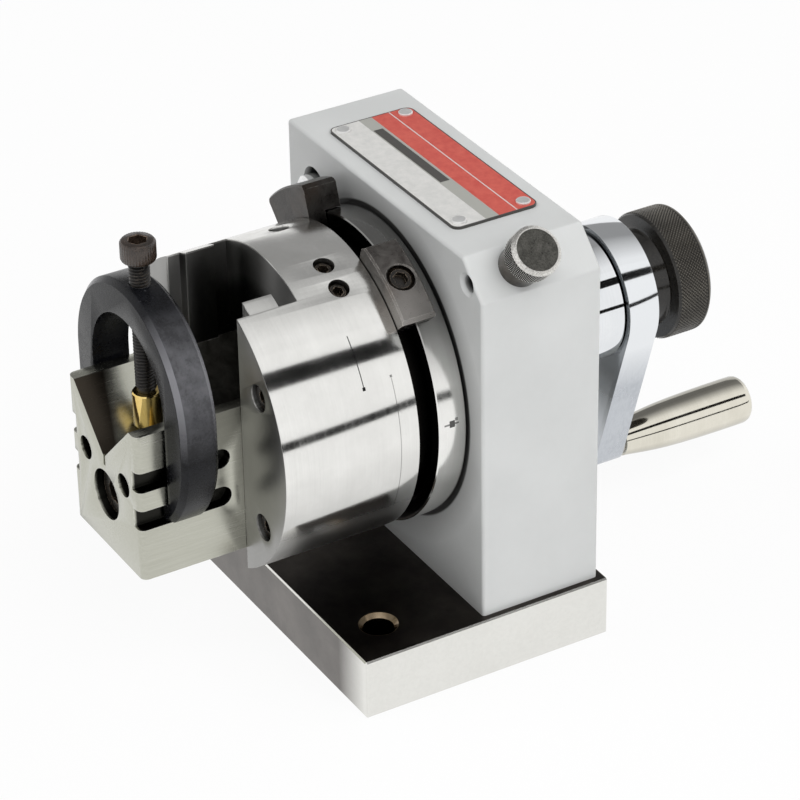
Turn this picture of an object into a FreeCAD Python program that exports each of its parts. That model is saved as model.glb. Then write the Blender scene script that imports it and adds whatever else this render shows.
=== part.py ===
import FreeCAD, Part

import math
import os

from FreeCAD import Vector

# Punch former: a bench fixture that holds a punch in a V block and turns it on a horizontal spindle.
# Millimetres. Origin: centre of the underside of the base plate. +Z up, spindle along Y,
# the V block in front towards -Y, the crank behind towards +Y, +X to the right seen from the front.

os.makedirs("parts", exist_ok=True)

# Base plate
BASE_WIDTH = 111.0
BASE_DEPTH = 80.0
BASE_THICKNESS = 19.0
BASE_EDGE_BREAK = 0.5
BASE_BOLT_RADIUS = 4.5
BASE_BOLT_SINK = 1.2
BASE_BOLT_SPACING = 81.4
BASE_BOLT_Y = -27.3

# Housing block
HOUSING_WIDTH = 106.5
HOUSING_DEPTH = 38.2
HOUSING_FRONT_Y = -0.5
HOUSING_TOP_Z = 130.0
HOUSING_CORNER_CUT = 10.0
HOUSING_EDGE_RADIUS = 1.0

# Spindle centre line, bored at a set depth below the top of the housing
SPINDLE_BELOW_TOP = 53.0
SPINDLE_Z = HOUSING_TOP_Z - SPINDLE_BELOW_TOP

# Screws that hold the housing on the base plate, from below
BASE_SCREW_X = 40.0
BASE_SCREW_Y_FRONT = 8.0
BASE_SCREW_Y_REAR = 29.0
BASE_SCREW_RADIUS = 4.0
BASE_SCREW_HEAD_RADIUS = 6.5
BASE_SCREW_HEAD_HEIGHT = 8.0
BASE_SCREW_SINK = 1.0
BASE_SCREW_GRIP = 14.0

# Socket screw proportions
SOCKET_SHARE_OF_HEAD = 0.48
SOCKET_DEPTH_SHARE = 0.5
COUNTERBORE_CLEARANCE = 0.5
SHANK_CLEARANCE = 0.2
SET_SCREW_CHAMFER_SHARE = 0.25

# Name plate on the top of the housing
PLATE_LENGTH = 70.0
PLATE_WIDTH = 27.2
PLATE_THICKNESS = 0.8
PLATE_CENTRE_X = -5.0
PLATE_CENTRE_Y = 18.9
PLATE_CORNER_RADIUS = 2.5
RIVET_INSET = 3.3
RIVET_HEAD_RADIUS = 2.1
RIVET_HEAD_HEIGHT = 0.7
RIVET_SHANK_RADIUS = 1.0
RIVET_SHANK_LENGTH = 5.0

# Chuck body in front
CHUCK_RADIUS = 45.0
CHUCK_FRONT_Y = -57.3
CHUCK_REAR_Y = -15.5
CHUCK_EDGE_BREAK = 0.4
SLOT_HALF_WIDTH = 20.5
SLOT_LIP_HALF_WIDTH = 16.3
SLOT_RECESS_DEPTH = 4.0
SLOT_LIP_DEPTH = 8.8
SLOT_HEAD_DEPTH = 5.8
CHUCK_SCREW_X = 31.0
CHUCK_SCREW_RISE = 20.7
CHUCK_SCREW_RADIUS = 2.0
CHUCK_SCREW_HEAD_RADIUS = 3.5
CHUCK_SCREW_HEAD_HEIGHT = 4.0
CHUCK_SCREW_SINK = 1.4
CHUCK_SCREW_GRIP = 7.0
CHUCK_SET_SCREW_RADIUS = 3.0
CHUCK_SET_SCREW_Y = -25.8
CHUCK_SET_SCREW_ANGLES = (-17.0, 15.7, 27.0)
CHUCK_SET_SCREW_SINK = 1.5

# Spindle, from the chuck towards the crank
SPIGOT_RADIUS = 20.0
SPIGOT_LENGTH = 18.0
SPIGOT_END_GAP = 0.3
FLANGE_RADIUS = 40.0
FLANGE_REAR_Y = -5.6
RING_SEAT_RADIUS = 29.0
FRONT_JOURNAL_RADIUS = 17.5
INDEX_SEAT_RADIUS = 16.0
PRELOAD_THREAD_RADIUS = 15.0
SHAFT_RADIUS = 12.0
REAR_JOURNAL_RADIUS = 7.5
CRANK_SEAT_RADIUS = 7.0
NUT_THREAD_RADIUS = 6.0
SPINDLE_END_Y = 97.5
SPINDLE_END_BREAK = 1.0
CENTRE_HOLE_RADIUS = 1.6
CENTRE_HOLE_DEPTH = 3.0

# Stop ring behind the chuck, with an undercut rim that the stop dogs hook under
RING_RADIUS = 45.6
RING_FRONT_Y = -9.6
RING_GAP_TO_HOUSING = 0.4
RING_LIP_RADIUS = 42.0
RING_EDGE_BREAK = 0.3
RING_SCREW_RADIUS = 2.0
RING_SCREW_CIRCLE = 34.5
RING_SCREW_COUNT = 4
RING_SCREW_LENGTH = 11.0
RING_SCREW_SINK_RADIUS = 3.9

# Stop dogs, each an arc of a turned hook
DOG_FRONT_CLEARANCE = 0.2
DOG_RADIAL_CLEARANCE = 0.3
DOG_REAR_Y = -4.9
DOG_FOOT_HEIGHT = 1.4
DOG_FOOT_REACH = 3.2
RIGHT_DOG_TOP_RADIUS = 50.0
RIGHT_DOG_ANGLE = 32.8
RIGHT_DOG_SPAN_ANGLE = 30.4
LEFT_DOG_TOP_RADIUS = 54.3
LEFT_DOG_ANGLE = -32.6
LEFT_DOG_SPAN_ANGLE = 26.6
DOG_EDGE_BREAK = 0.5
DOG_PROFILE_ANGLE = 90.0
DOG_SCREW_Y = -10.0
DOG_SCREW_RADIUS = 4.0
DOG_SCREW_SINK = 0.9
DOG_SCREW_COUNTERSINK = 0.4
DOG_END_BREAK = 1.2
DOG_SCREW_TIP_GAP = 0.3

# Stop pin in the front face of the housing
STOP_PIN_SIDE_INSET = 15.05
STOP_PIN_TOP_INSET = 15.5
STOP_PIN_RADIUS = 4.2
STOP_PIN_STAND_OUT = 3.7
STOP_PIN_HOLE_RADIUS = 6.2
STOP_PIN_HOLE_DEPTH = 12.0
STOP_PIN_SHANK_RADIUS = 3.0
STOP_PIN_SHANK_DEPTH = 20.0
STOP_PIN_EDGE_BREAK = 0.8

# Bearings: thin ring bearing in front, small bearing behind
FRONT_BEARING_OUTER_RADIUS = 23.5
FRONT_BEARING_WIDTH = 7.0
FRONT_BEARING_LIP_DEPTH = 2.0
FRONT_BEARING_LIP_RADIUS = 21.5
FRONT_BEARING_RACE_RADIUS = 19.6
REAR_BEARING_OUTER_RADIUS = 16.0
REAR_BEARING_WIDTH = 9.0
REAR_BEARING_RACE_RADIUS = 10.6
RACE_GAP = 0.5
RACE_EDGE_BREAK = 0.4

# Index plate with notches for the plunger
INDEX_RADIUS = 40.0
INDEX_THICKNESS = 9.0
INDEX_NOTCH_COUNT = 24
INDEX_NOTCH_WIDTH = 6.3
INDEX_NOTCH_DEPTH = 4.2
INDEX_WEB_RADIUS = 30.0
INDEX_HUB_RADIUS = 22.5
INDEX_WEB_RECESS = 2.0
INDEX_KEY_WIDTH = 4.0
INDEX_KEY_HEIGHT = 4.0
PRELOAD_NUT_RADIUS = 22.0
PRELOAD_NUT_WIDTH = 6.0
PRELOAD_SLOT_WIDTH = 4.0
PRELOAD_SLOT_DEPTH = 2.0
PRELOAD_SLOT_COUNT = 4

# Chamber in the housing around the index plate, closed from behind by the rear sleeve
CHAMBER_RADIUS = 43.0
SLEEVE_FLANGE_RADIUS = 49.0
SLEEVE_FLANGE_THICKNESS = 6.0
SLEEVE_RADIUS = 19.3
SLEEVE_END_Y = 69.2
SLEEVE_BORE_RADIUS = 13.0
SLEEVE_REGISTER_DEPTH = 3.0
SLEEVE_SCREW_CIRCLE = 45.0
SLEEVE_SCREW_COUNT = 6
SLEEVE_SCREW_RADIUS = 1.5
SLEEVE_SCREW_HEAD_RADIUS = 2.75
SLEEVE_SCREW_HEAD_HEIGHT = 3.0
SLEEVE_SCREW_SINK = 0.4
SLEEVE_SCREW_GRIP = 8.0
SLEEVE_EDGE_BREAK = 0.5

# Index plunger, square to the cut corner of the housing and pointing at the spindle axis.
# Distances along it are measured from the spindle axis; it is drawn parked out of its notch.
PLUNGER_Y = 14.3
PLUNGER_ANGLE = 45.0
PLUNGER_TRAVEL = 4.6
PLUNGER_PARKED_GAP = 0.7
PLUNGER_PIN_RADIUS = 3.0
PLUNGER_STEM_RADIUS = 2.0
PLUNGER_COLLAR_RADIUS = 3.8
PLUNGER_COLLAR_THICKNESS = 1.5
PLUNGER_TIP_BREAK = 0.6
BUSH_THREAD_RADIUS = 5.0
BUSH_HEAD_RADIUS = 6.0
BUSH_HEAD_HEIGHT = 6.8
BUSH_SPRING_BORE = 4.0
BUSH_GUIDE_LENGTH = 4.5
BUSH_TOP_WALL = 1.9
BUSH_REACH = 1.5
KNOB_RADIUS = 7.25
KNOB_HEIGHT = 7.0
KNOB_OVERLAP = 0.5
KNOB_BORE_RADIUS = 6.3
KNOB_TOP_WALL = 1.6
KNOB_EDGE_BREAK = 0.9
RUNNING_CLEARANCE = 0.05
SPRING_TURNS = 4
SPRING_WIRE_RADIUS = 0.45
SPRING_END_GAP = 0.3
BUSH_LOCK_RADIUS = 2.5
BUSH_LOCK_LENGTH = 5.0
BUSH_LOCK_SINK = 1.0
BUSH_LOCK_OFFSET = 3.7

# V block
BLOCK_FRONT_Y = -89.5
BLOCK_BOTTOM_Z = 43.9
BLOCK_TOP_Z = 89.8
BLOCK_EDGE_RADIUS = 2.0
BLOCK_TOP_BREAK = 0.8
V_APEX_Z = 73.3
V_HALF_ANGLE = 45.0
V_RELIEF_WIDTH = 1.2
V_RELIEF_DEPTH = 2.6
GROOVE_HEIGHT = 6.2
GROOVE_DEPTH = 3.5
LOWER_GROOVE_Z = 63.0
UPPER_GROOVE_Z = 75.1
GROOVE_LENGTH = 28.3
BLOCK_SCREW_Z = 61.2
BLOCK_SCREW_RADIUS = 4.0
BLOCK_SCREW_HEAD_RADIUS = 6.5
BLOCK_SCREW_HEAD_HEIGHT = 8.0
BLOCK_SCREW_BORE_RADIUS = 7.5
BLOCK_SCREW_SINK = 2.5
BLOCK_SCREW_GRIP = 9.0
BLOCK_ACCESS_X = 11.5
BLOCK_ACCESS_Z = 70.35
BLOCK_ACCESS_RADIUS = 3.5
DOWEL_X = 12.0
DOWEL_Z = 52.0
DOWEL_RADIUS = 2.5
DOWEL_LENGTH = 12.0

# Carriage: T-shaped slide behind the V block
SLIDE_CLEARANCE = 0.1
CARRIAGE_LOCK_RADIUS = 3.0
CARRIAGE_LOCK_LENGTH = 9.0
CARRIAGE_LOCK_SINK = 2.5

# Clamp yoke over the V block
YOKE_CENTRE_Y = -75.45
YOKE_WIDTH = 11.3
YOKE_OUTER_RADIUS = 32.0
YOKE_UPPER_Z = 92.0
YOKE_LOWER_Z = 84.0
YOKE_INNER_RADIUS = 21.5
YOKE_INNER_Z = 92.7
YOKE_EDGE_BREAK = 1.6
YOKE_LIP_CLEARANCE = 0.3
YOKE_LIP_GAP = 36.6

# Clamp screw and its brass tip
CLAMP_SCREW_RADIUS = 3.0
CLAMP_HEAD_RADIUS = 5.0
CLAMP_HEAD_HEIGHT = 6.0
CLAMP_SCREW_STAND_OUT = 7.2
CLAMP_NECK_RADIUS = 2.5
CLAMP_NECK_LENGTH = 2.0
CLAMP_NOSE_RADIUS = 2.0
CLAMP_NOSE_LENGTH = 6.5
CLAMP_EDGE_BREAK = 0.8
TIP_RADIUS = 4.1
TIP_BOTTOM_Z = 79.9
TIP_LENGTH = 10.5
TIP_EDGE_BREAK = 0.5

# Crank arm, handle and knurled nut
ARM_GAP = 0.3
ARM_THICKNESS = 10.0
ARM_HUB_RADIUS = 20.8
ARM_END_RADIUS = 5.4
ARM_END_X = -1.7
ARM_END_DROP = 55.1
ARM_EDGE_RADIUS = 0.8
CRANK_KEY_WIDTH = 4.0
CRANK_KEY_HEIGHT = 4.0
WASHER_RADIUS = 13.0
WASHER_THICKNESS = 1.2
NUT_FACE_GAP = 0.05
NUT_NECK_RADIUS = 14.5
NUT_NECK_LENGTH = 7.0
NUT_FRONT_BREAK = 0.5
NUT_RADIUS = 19.4
NUT_GRIP_LENGTH = 11.3
NUT_REAR_BREAK = 1.3
NUT_BORE_SINK = 1.5
STUD_RADIUS = 3.5
STUD_SHOULDER_RADIUS = 4.5
STUD_SHOULDER_LENGTH = 1.4
STUD_LENGTH = 38.0
STUD_END_RADIUS = 2.0
STUD_TAPPING_DEPTH = 8.0
STUD_RIVET_RADIUS = 4.4
STUD_RIVET_HEIGHT = 1.0
HANDLE_END_GAP = 0.1
HANDLE_ROOT_RADIUS = 5.2
HANDLE_WAIST_RADIUS = 7.0
HANDLE_WAIST_Y = 16.5
HANDLE_RADIUS = 7.5
HANDLE_LENGTH = 45.0
HANDLE_END_RADIUS = 2.0
HANDLE_RECESS_RADIUS = 4.4
HANDLE_RECESS_DEPTH = 5.0
RETAINER_RADIUS = 3.8
RETAINER_THICKNESS = 1.6
RETAINER_GAP = 0.3
RETAINER_SOCKET_SHARE = 0.6

# Places that follow from the sizes above
HOUSING_REAR_Y = HOUSING_FRONT_Y + HOUSING_DEPTH
STOP_PIN_X = STOP_PIN_SIDE_INSET - HOUSING_WIDTH / 2
STOP_PIN_Z = HOUSING_TOP_Z - STOP_PIN_TOP_INSET
RING_REAR_Y = HOUSING_FRONT_Y - RING_GAP_TO_HOUSING
SLOT_LIP_FRONT_Y = CHUCK_FRONT_Y + SLOT_RECESS_DEPTH
SLOT_HEAD_FRONT_Y = SLOT_LIP_FRONT_Y + SLOT_LIP_DEPTH
SLOT_FLOOR_Y = SLOT_HEAD_FRONT_Y + SLOT_HEAD_DEPTH
FRONT_BEARING_Y = HOUSING_FRONT_Y + FRONT_BEARING_LIP_DEPTH
INDEX_FRONT_Y = PLUNGER_Y - INDEX_THICKNESS / 2
INDEX_REAR_Y = PLUNGER_Y + INDEX_THICKNESS / 2
CHAMBER_FRONT_Y = FRONT_BEARING_Y + FRONT_BEARING_WIDTH
PRELOAD_REAR_Y = INDEX_REAR_Y + PRELOAD_NUT_WIDTH
REAR_BEARING_Y = SLEEVE_END_Y - FRONT_BEARING_LIP_DEPTH - REAR_BEARING_WIDTH
ARM_FRONT_Y = SLEEVE_END_Y + ARM_GAP
ARM_REAR_Y = ARM_FRONT_Y + ARM_THICKNESS
WASHER_REAR_Y = ARM_REAR_Y + WASHER_THICKNESS
ARM_END_Z = SPINDLE_Z - ARM_END_DROP
HANDLE_FRONT_Y = ARM_REAR_Y + STUD_SHOULDER_LENGTH + HANDLE_END_GAP
CORNER_FACE_DISTANCE = (HOUSING_WIDTH / 2 + HOUSING_TOP_Z - HOUSING_CORNER_CUT - SPINDLE_Z) / math.sqrt(2)
BUSH_TOP = CORNER_FACE_DISTANCE + BUSH_HEAD_HEIGHT
BUSH_BOTTOM = CHAMBER_RADIUS + BUSH_REACH
PIN_TIP = INDEX_RADIUS + PLUNGER_PARKED_GAP
COLLAR_BOTTOM = BUSH_BOTTOM + BUSH_GUIDE_LENGTH + SPRING_END_GAP + PLUNGER_TRAVEL
KNOB_BOTTOM = BUSH_TOP - KNOB_OVERLAP
BLOCK_REAR_Y = SLOT_LIP_FRONT_Y - SLIDE_CLEARANCE
BLOCK_HALF_WIDTH = SLOT_HALF_WIDTH - SLIDE_CLEARANCE
CARRIAGE_REAR_Y = SLOT_FLOOR_Y - SLIDE_CLEARANCE
YOKE_FRONT_Y = YOKE_CENTRE_Y - YOKE_WIDTH / 2
TIP_TOP_Z = TIP_BOTTOM_Z + TIP_LENGTH
CLAMP_HEAD_TOP_Z = YOKE_UPPER_Z + YOKE_OUTER_RADIUS + CLAMP_SCREW_STAND_OUT + CLAMP_HEAD_HEIGHT

ALONG_Y = Vector(0, 1, 0)
ALONG_Z = Vector(0, 0, 1)


def write(shape, name):
    """Save one sub-part as its own file."""
    shape.exportStep("parts/" + name + ".step")


def rod(radius, start, end):
    """Round bar between two points."""
    run = end - start
    return Part.makeCylinder(radius, run.Length, start, run)


def rod_y(radius, y0, y1, x=0.0, z=SPINDLE_Z):
    """Round bar along Y, on the spindle axis unless placed elsewhere."""
    return rod(radius, Vector(x, y0, z), Vector(x, y1, z))


def rod_z(radius, z0, z1, x, y):
    """Upright round bar."""
    return rod(radius, Vector(x, y, z0), Vector(x, y, z1))


def block(x0, x1, y0, y1, z0, z1):
    """Square-edged block between two corners."""
    return Part.makeBox(x1 - x0, y1 - y0, z1 - z0, Vector(x0, y0, z0))


def turned(profile, x=0.0, z=SPINDLE_Z, sweep=360.0):
    """Turned piece about a line along Y, from (radius, y) corners."""
    corners = [Vector(x + radius, y, z) for radius, y in profile]
    face = Part.Face(Part.makePolygon(corners + corners[:1]))
    return face.revolve(Vector(x, 0, z), ALONG_Y, sweep)


def prism_y(outline, y0, y1):
    """Piece of one section along Y, from (x, z) corners."""
    corners = [Vector(x, y0, z) for x, z in outline]
    face = Part.Face(Part.makePolygon(corners + corners[:1]))
    return face.extrude(Vector(0, y1 - y0, 0))


def joined(shapes):
    """One solid from touching pieces, with the seams between flat faces removed."""
    return shapes[0].fuse(shapes[1:]).removeSplitter()


def about_spindle(shape, angle):
    """Copy turned about the spindle axis; a positive angle goes from the top towards +X."""
    copy = shape.copy()
    copy.rotate(Vector(0, 0, SPINDLE_Z), ALONG_Y, angle)
    return copy


def hexagon_bar(across_flats, start, end):
    """Six-sided bar between two points."""
    run = end - start
    corner_radius = across_flats / math.sqrt(3)
    turns = [math.radians(60 * i) for i in range(7)]
    corners = [Vector(corner_radius * math.cos(turn), corner_radius * math.sin(turn), 0) for turn in turns]
    bar = Part.Face(Part.makePolygon(corners)).extrude(Vector(0, 0, run.Length))
    bar.Placement = FreeCAD.Placement(start, FreeCAD.Rotation(ALONG_Z, run))
    return bar


def cap_screw(seat, direction, shank_radius, head_radius, head_height, length):
    """Socket head screw: its head stands behind the seat point and its shank runs along direction."""
    way = Vector(direction).normalize()
    top = seat - way * head_height
    socket_floor = top + way * head_height * SOCKET_DEPTH_SHARE
    head = rod(head_radius, top, seat)
    shank = rod(shank_radius, seat, seat + way * length)
    socket = hexagon_bar(2 * head_radius * SOCKET_SHARE_OF_HEAD, top, socket_floor)
    return joined([head, shank]).cut(socket)


def set_screw(top, tip, radius):
    """Headless socket screw from its socket end to its tip."""
    run = tip - top
    socket_floor = top + run * min(SOCKET_DEPTH_SHARE, radius / run.Length)
    chamfer = radius * SET_SCREW_CHAMFER_SHARE
    chamfer_end = top + run * (chamfer / run.Length)
    crown = Part.makeCone(radius - chamfer, radius, chamfer, top, run)
    body = joined([crown, rod(radius, chamfer_end, tip)])
    return body.cut(hexagon_bar(2 * radius * SOCKET_SHARE_OF_HEAD, top, socket_floor))


def edges_where(shape, test):
    """Edges of a shape whose centre passes a test."""
    return [edge for edge in shape.Edges if test(edge.CenterOfMass, edge)]


def base_screw_places():
    """Centres of the four screws under the housing."""
    return [(x, y) for x in (-BASE_SCREW_X, BASE_SCREW_X) for y in (BASE_SCREW_Y_FRONT, BASE_SCREW_Y_REAR)]


def base_bolt_places():
    """Centres of the two holes that bolt the fixture down."""
    return [(-BASE_BOLT_SPACING / 2, BASE_BOLT_Y), (BASE_BOLT_SPACING / 2, BASE_BOLT_Y)]


def base_seat_z():
    """Height of the seats under the heads of the base screws."""
    return BASE_SCREW_SINK + BASE_SCREW_HEAD_HEIGHT


def make_base_plate():
    plate = block(-BASE_WIDTH / 2, BASE_WIDTH / 2, -BASE_DEPTH / 2, BASE_DEPTH / 2, 0, BASE_THICKNESS)
    plate = plate.makeChamfer(BASE_EDGE_BREAK, plate.Edges)
    for x, y in base_bolt_places():
        plate = plate.cut(rod_z(BASE_BOLT_RADIUS, 0, BASE_THICKNESS, x, y))
        sink = Part.makeCone(
            BASE_BOLT_RADIUS,
            BASE_BOLT_RADIUS + BASE_BOLT_SINK,
            BASE_BOLT_SINK,
            Vector(x, y, BASE_THICKNESS - BASE_BOLT_SINK),
        )
        plate = plate.cut(sink)
    for x, y in base_screw_places():
        plate = plate.cut(rod_z(BASE_SCREW_RADIUS + SHANK_CLEARANCE, 0, BASE_THICKNESS, x, y))
        plate = plate.cut(rod_z(BASE_SCREW_HEAD_RADIUS + COUNTERBORE_CLEARANCE, 0, base_seat_z(), x, y))
    return plate


def base_screw_end_z():
    """Height of the tips of the base screws."""
    return BASE_THICKNESS + BASE_SCREW_GRIP


def make_base_screws():
    screws = []
    for x, y in base_screw_places():
        length = base_screw_end_z() - base_seat_z()
        seat = Vector(x, y, base_seat_z())
        screws.append(
            cap_screw(
                seat, ALONG_Z, BASE_SCREW_RADIUS, BASE_SCREW_HEAD_RADIUS, BASE_SCREW_HEAD_HEIGHT, length
            )
        )
    return Part.makeCompound(screws)


def plunger_point(distance):
    """Point on the plunger axis at a distance from the spindle axis."""
    angle = math.radians(PLUNGER_ANGLE)
    return Vector(distance * math.sin(angle), PLUNGER_Y, SPINDLE_Z + distance * math.cos(angle))


def bush_lock_point(y):
    """Point on the axis of the screw that locks the plunger bush."""
    place = plunger_point(CORNER_FACE_DISTANCE - BUSH_LOCK_OFFSET)
    return Vector(place.x, y, place.z)


def make_housing():
    half = HOUSING_WIDTH / 2
    outline = [
        (-half, BASE_THICKNESS),
        (half, BASE_THICKNESS),
        (half, HOUSING_TOP_Z - HOUSING_CORNER_CUT),
        (half - HOUSING_CORNER_CUT, HOUSING_TOP_Z),
        (-half, HOUSING_TOP_Z),
    ]
    body = prism_y(outline, HOUSING_FRONT_Y, HOUSING_REAR_Y)
    above_foot = BASE_THICKNESS + HOUSING_EDGE_RADIUS
    rounded = edges_where(body, lambda centre, edge: centre.z > above_foot)
    body = body.makeFillet(HOUSING_EDGE_RADIUS, rounded)
    body = body.cut(
        [
            rod_y(FRONT_BEARING_LIP_RADIUS, HOUSING_FRONT_Y, FRONT_BEARING_Y),
            rod_y(FRONT_BEARING_OUTER_RADIUS, FRONT_BEARING_Y, CHAMBER_FRONT_Y),
            rod_y(CHAMBER_RADIUS, CHAMBER_FRONT_Y, HOUSING_REAR_Y),
            rod_y(SLEEVE_FLANGE_RADIUS, HOUSING_REAR_Y - SLEEVE_FLANGE_THICKNESS, HOUSING_REAR_Y),
            rod(BUSH_THREAD_RADIUS, plunger_point(BUSH_BOTTOM), plunger_point(BUSH_TOP)),
            rod(BUSH_THREAD_RADIUS, plunger_point(CHAMBER_RADIUS / 2), plunger_point(BUSH_BOTTOM)),
            rod(BUSH_LOCK_RADIUS, bush_lock_point(HOUSING_FRONT_Y), bush_lock_point(PLUNGER_Y)),
        ]
    )
    lock_mouth = bush_lock_point(HOUSING_FRONT_Y)
    lock_sink = Part.makeCone(
        BUSH_LOCK_RADIUS + BUSH_LOCK_SINK, BUSH_LOCK_RADIUS, BUSH_LOCK_SINK, lock_mouth, ALONG_Y
    )
    hole_floor = HOUSING_FRONT_Y + STOP_PIN_HOLE_DEPTH
    shank_end = HOUSING_FRONT_Y + STOP_PIN_SHANK_DEPTH
    body = body.cut(
        [
            lock_sink,
            rod_y(STOP_PIN_HOLE_RADIUS, HOUSING_FRONT_Y, hole_floor, STOP_PIN_X, STOP_PIN_Z),
            rod_y(STOP_PIN_SHANK_RADIUS, hole_floor, shank_end, STOP_PIN_X, STOP_PIN_Z),
        ]
    )
    for x, y in base_screw_places():
        body = body.cut(rod_z(BASE_SCREW_RADIUS, BASE_THICKNESS, base_screw_end_z(), x, y))
    for point in sleeve_screw_points(HOUSING_REAR_Y):
        end = Vector(point.x, sleeve_screw_end_y(), point.z)
        body = body.cut(rod(SLEEVE_SCREW_RADIUS, point, end))
    for x, y in rivet_places():
        body = body.cut(rod_z(RIVET_SHANK_RADIUS, HOUSING_TOP_Z - RIVET_SHANK_LENGTH, HOUSING_TOP_Z, x, y))
    return body


def rivet_places():
    """Centres of the four rivets of the name plate."""
    reach_x = PLATE_LENGTH / 2 - RIVET_INSET
    reach_y = PLATE_WIDTH / 2 - RIVET_INSET
    return [
        (PLATE_CENTRE_X + side_x * reach_x, PLATE_CENTRE_Y + side_y * reach_y)
        for side_x in (-1, 1)
        for side_y in (-1, 1)
    ]


def make_name_plate():
    plate = block(
        PLATE_CENTRE_X - PLATE_LENGTH / 2,
        PLATE_CENTRE_X + PLATE_LENGTH / 2,
        PLATE_CENTRE_Y - PLATE_WIDTH / 2,
        PLATE_CENTRE_Y + PLATE_WIDTH / 2,
        HOUSING_TOP_Z,
        HOUSING_TOP_Z + PLATE_THICKNESS,
    )
    upright = edges_where(plate, lambda centre, edge: abs(edge.tangentAt(edge.FirstParameter).z) > 0.9)
    plate = plate.makeFillet(PLATE_CORNER_RADIUS, upright)
    for x, y in rivet_places():
        plate = plate.cut(rod_z(RIVET_SHANK_RADIUS, HOUSING_TOP_Z, HOUSING_TOP_Z + PLATE_THICKNESS, x, y))
    return plate


def make_plate_rivets():
    seat = HOUSING_TOP_Z + PLATE_THICKNESS
    rivets = []
    for x, y in rivet_places():
        head = rod_z(RIVET_HEAD_RADIUS, seat, seat + RIVET_HEAD_HEIGHT, x, y)
        crown = edges_where(head, lambda centre, edge: centre.z > seat + RIVET_HEAD_HEIGHT * 0.9)
        head = head.makeFillet(RIVET_HEAD_HEIGHT * 0.6, crown)
        shank = rod_z(RIVET_SHANK_RADIUS, HOUSING_TOP_Z - RIVET_SHANK_LENGTH, seat, x, y)
        rivets.append(joined([head, shank]))
    return Part.makeCompound(rivets)


def make_stop_pin():
    front = HOUSING_FRONT_Y - STOP_PIN_STAND_OUT
    floor = HOUSING_FRONT_Y + STOP_PIN_HOLE_DEPTH
    end = HOUSING_FRONT_Y + STOP_PIN_SHANK_DEPTH
    profile = [
        (0, front),
        (STOP_PIN_RADIUS - STOP_PIN_EDGE_BREAK, front),
        (STOP_PIN_RADIUS, front + STOP_PIN_EDGE_BREAK),
        (STOP_PIN_RADIUS, floor),
        (STOP_PIN_SHANK_RADIUS, floor),
        (STOP_PIN_SHANK_RADIUS, end),
        (0, end),
    ]
    return turned(profile, STOP_PIN_X, STOP_PIN_Z)


def race(inner_radius, outer_radius, y0, width):
    """Plain bearing ring with broken edges."""
    brk = RACE_EDGE_BREAK
    profile = [
        (inner_radius, y0 + brk),
        (inner_radius + brk, y0),
        (outer_radius - brk, y0),
        (outer_radius, y0 + brk),
        (outer_radius, y0 + width - brk),
        (outer_radius - brk, y0 + width),
        (inner_radius + brk, y0 + width),
        (inner_radius, y0 + width - brk),
    ]
    return turned(profile)


def make_front_bearing_outer():
    inner = FRONT_BEARING_RACE_RADIUS + RACE_GAP
    return race(inner, FRONT_BEARING_OUTER_RADIUS, FRONT_BEARING_Y, FRONT_BEARING_WIDTH)


def make_front_bearing_inner():
    return race(FRONT_JOURNAL_RADIUS, FRONT_BEARING_RACE_RADIUS, FRONT_BEARING_Y, FRONT_BEARING_WIDTH)


def make_rear_bearing_outer():
    inner = REAR_BEARING_RACE_RADIUS + RACE_GAP
    return race(inner, REAR_BEARING_OUTER_RADIUS, REAR_BEARING_Y, REAR_BEARING_WIDTH)


def make_rear_bearing_inner():
    return race(REAR_JOURNAL_RADIUS, REAR_BEARING_RACE_RADIUS, REAR_BEARING_Y, REAR_BEARING_WIDTH)


def sleeve_screw_points(y):
    """Centres of the rear sleeve's screws on a plane across the spindle axis."""
    step = 360.0 / SLEEVE_SCREW_COUNT
    points = []
    for i in range(SLEEVE_SCREW_COUNT):
        angle = math.radians(step * (i + 0.5))
        across, up = SLEEVE_SCREW_CIRCLE * math.sin(angle), SLEEVE_SCREW_CIRCLE * math.cos(angle)
        points.append(Vector(across, y, SPINDLE_Z + up))
    return points


def sleeve_screw_seat_y():
    """Plane of the seats under the heads of the sleeve screws."""
    return HOUSING_REAR_Y - SLEEVE_SCREW_SINK - SLEEVE_SCREW_HEAD_HEIGHT


def sleeve_screw_end_y():
    """Plane of the tips of the sleeve screws, inside the housing."""
    return HOUSING_REAR_Y - SLEEVE_FLANGE_THICKNESS - SLEEVE_SCREW_GRIP


def make_rear_sleeve():
    flange_front = HOUSING_REAR_Y - SLEEVE_FLANGE_THICKNESS
    register_front = flange_front - SLEEVE_REGISTER_DEPTH
    seat_front = REAR_BEARING_Y
    profile = [
        (SLEEVE_BORE_RADIUS, register_front),
        (CHAMBER_RADIUS, register_front),
        (CHAMBER_RADIUS, flange_front),
        (SLEEVE_FLANGE_RADIUS, flange_front),
        (SLEEVE_FLANGE_RADIUS, HOUSING_REAR_Y),
        (SLEEVE_RADIUS, HOUSING_REAR_Y),
        (SLEEVE_RADIUS, SLEEVE_END_Y - SLEEVE_EDGE_BREAK),
        (SLEEVE_RADIUS - SLEEVE_EDGE_BREAK, SLEEVE_END_Y),
        (REAR_BEARING_OUTER_RADIUS, SLEEVE_END_Y),
        (REAR_BEARING_OUTER_RADIUS, seat_front),
        (SLEEVE_BORE_RADIUS, seat_front),
    ]
    sleeve = turned(profile)
    for point in sleeve_screw_points(HOUSING_REAR_Y):
        seat = Vector(point.x, sleeve_screw_seat_y(), point.z)
        through = Vector(point.x, flange_front, point.z)
        sleeve = sleeve.cut(rod(SLEEVE_SCREW_HEAD_RADIUS + COUNTERBORE_CLEARANCE, seat, point))
        sleeve = sleeve.cut(rod(SLEEVE_SCREW_RADIUS + SHANK_CLEARANCE, through, point))
    return sleeve


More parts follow.
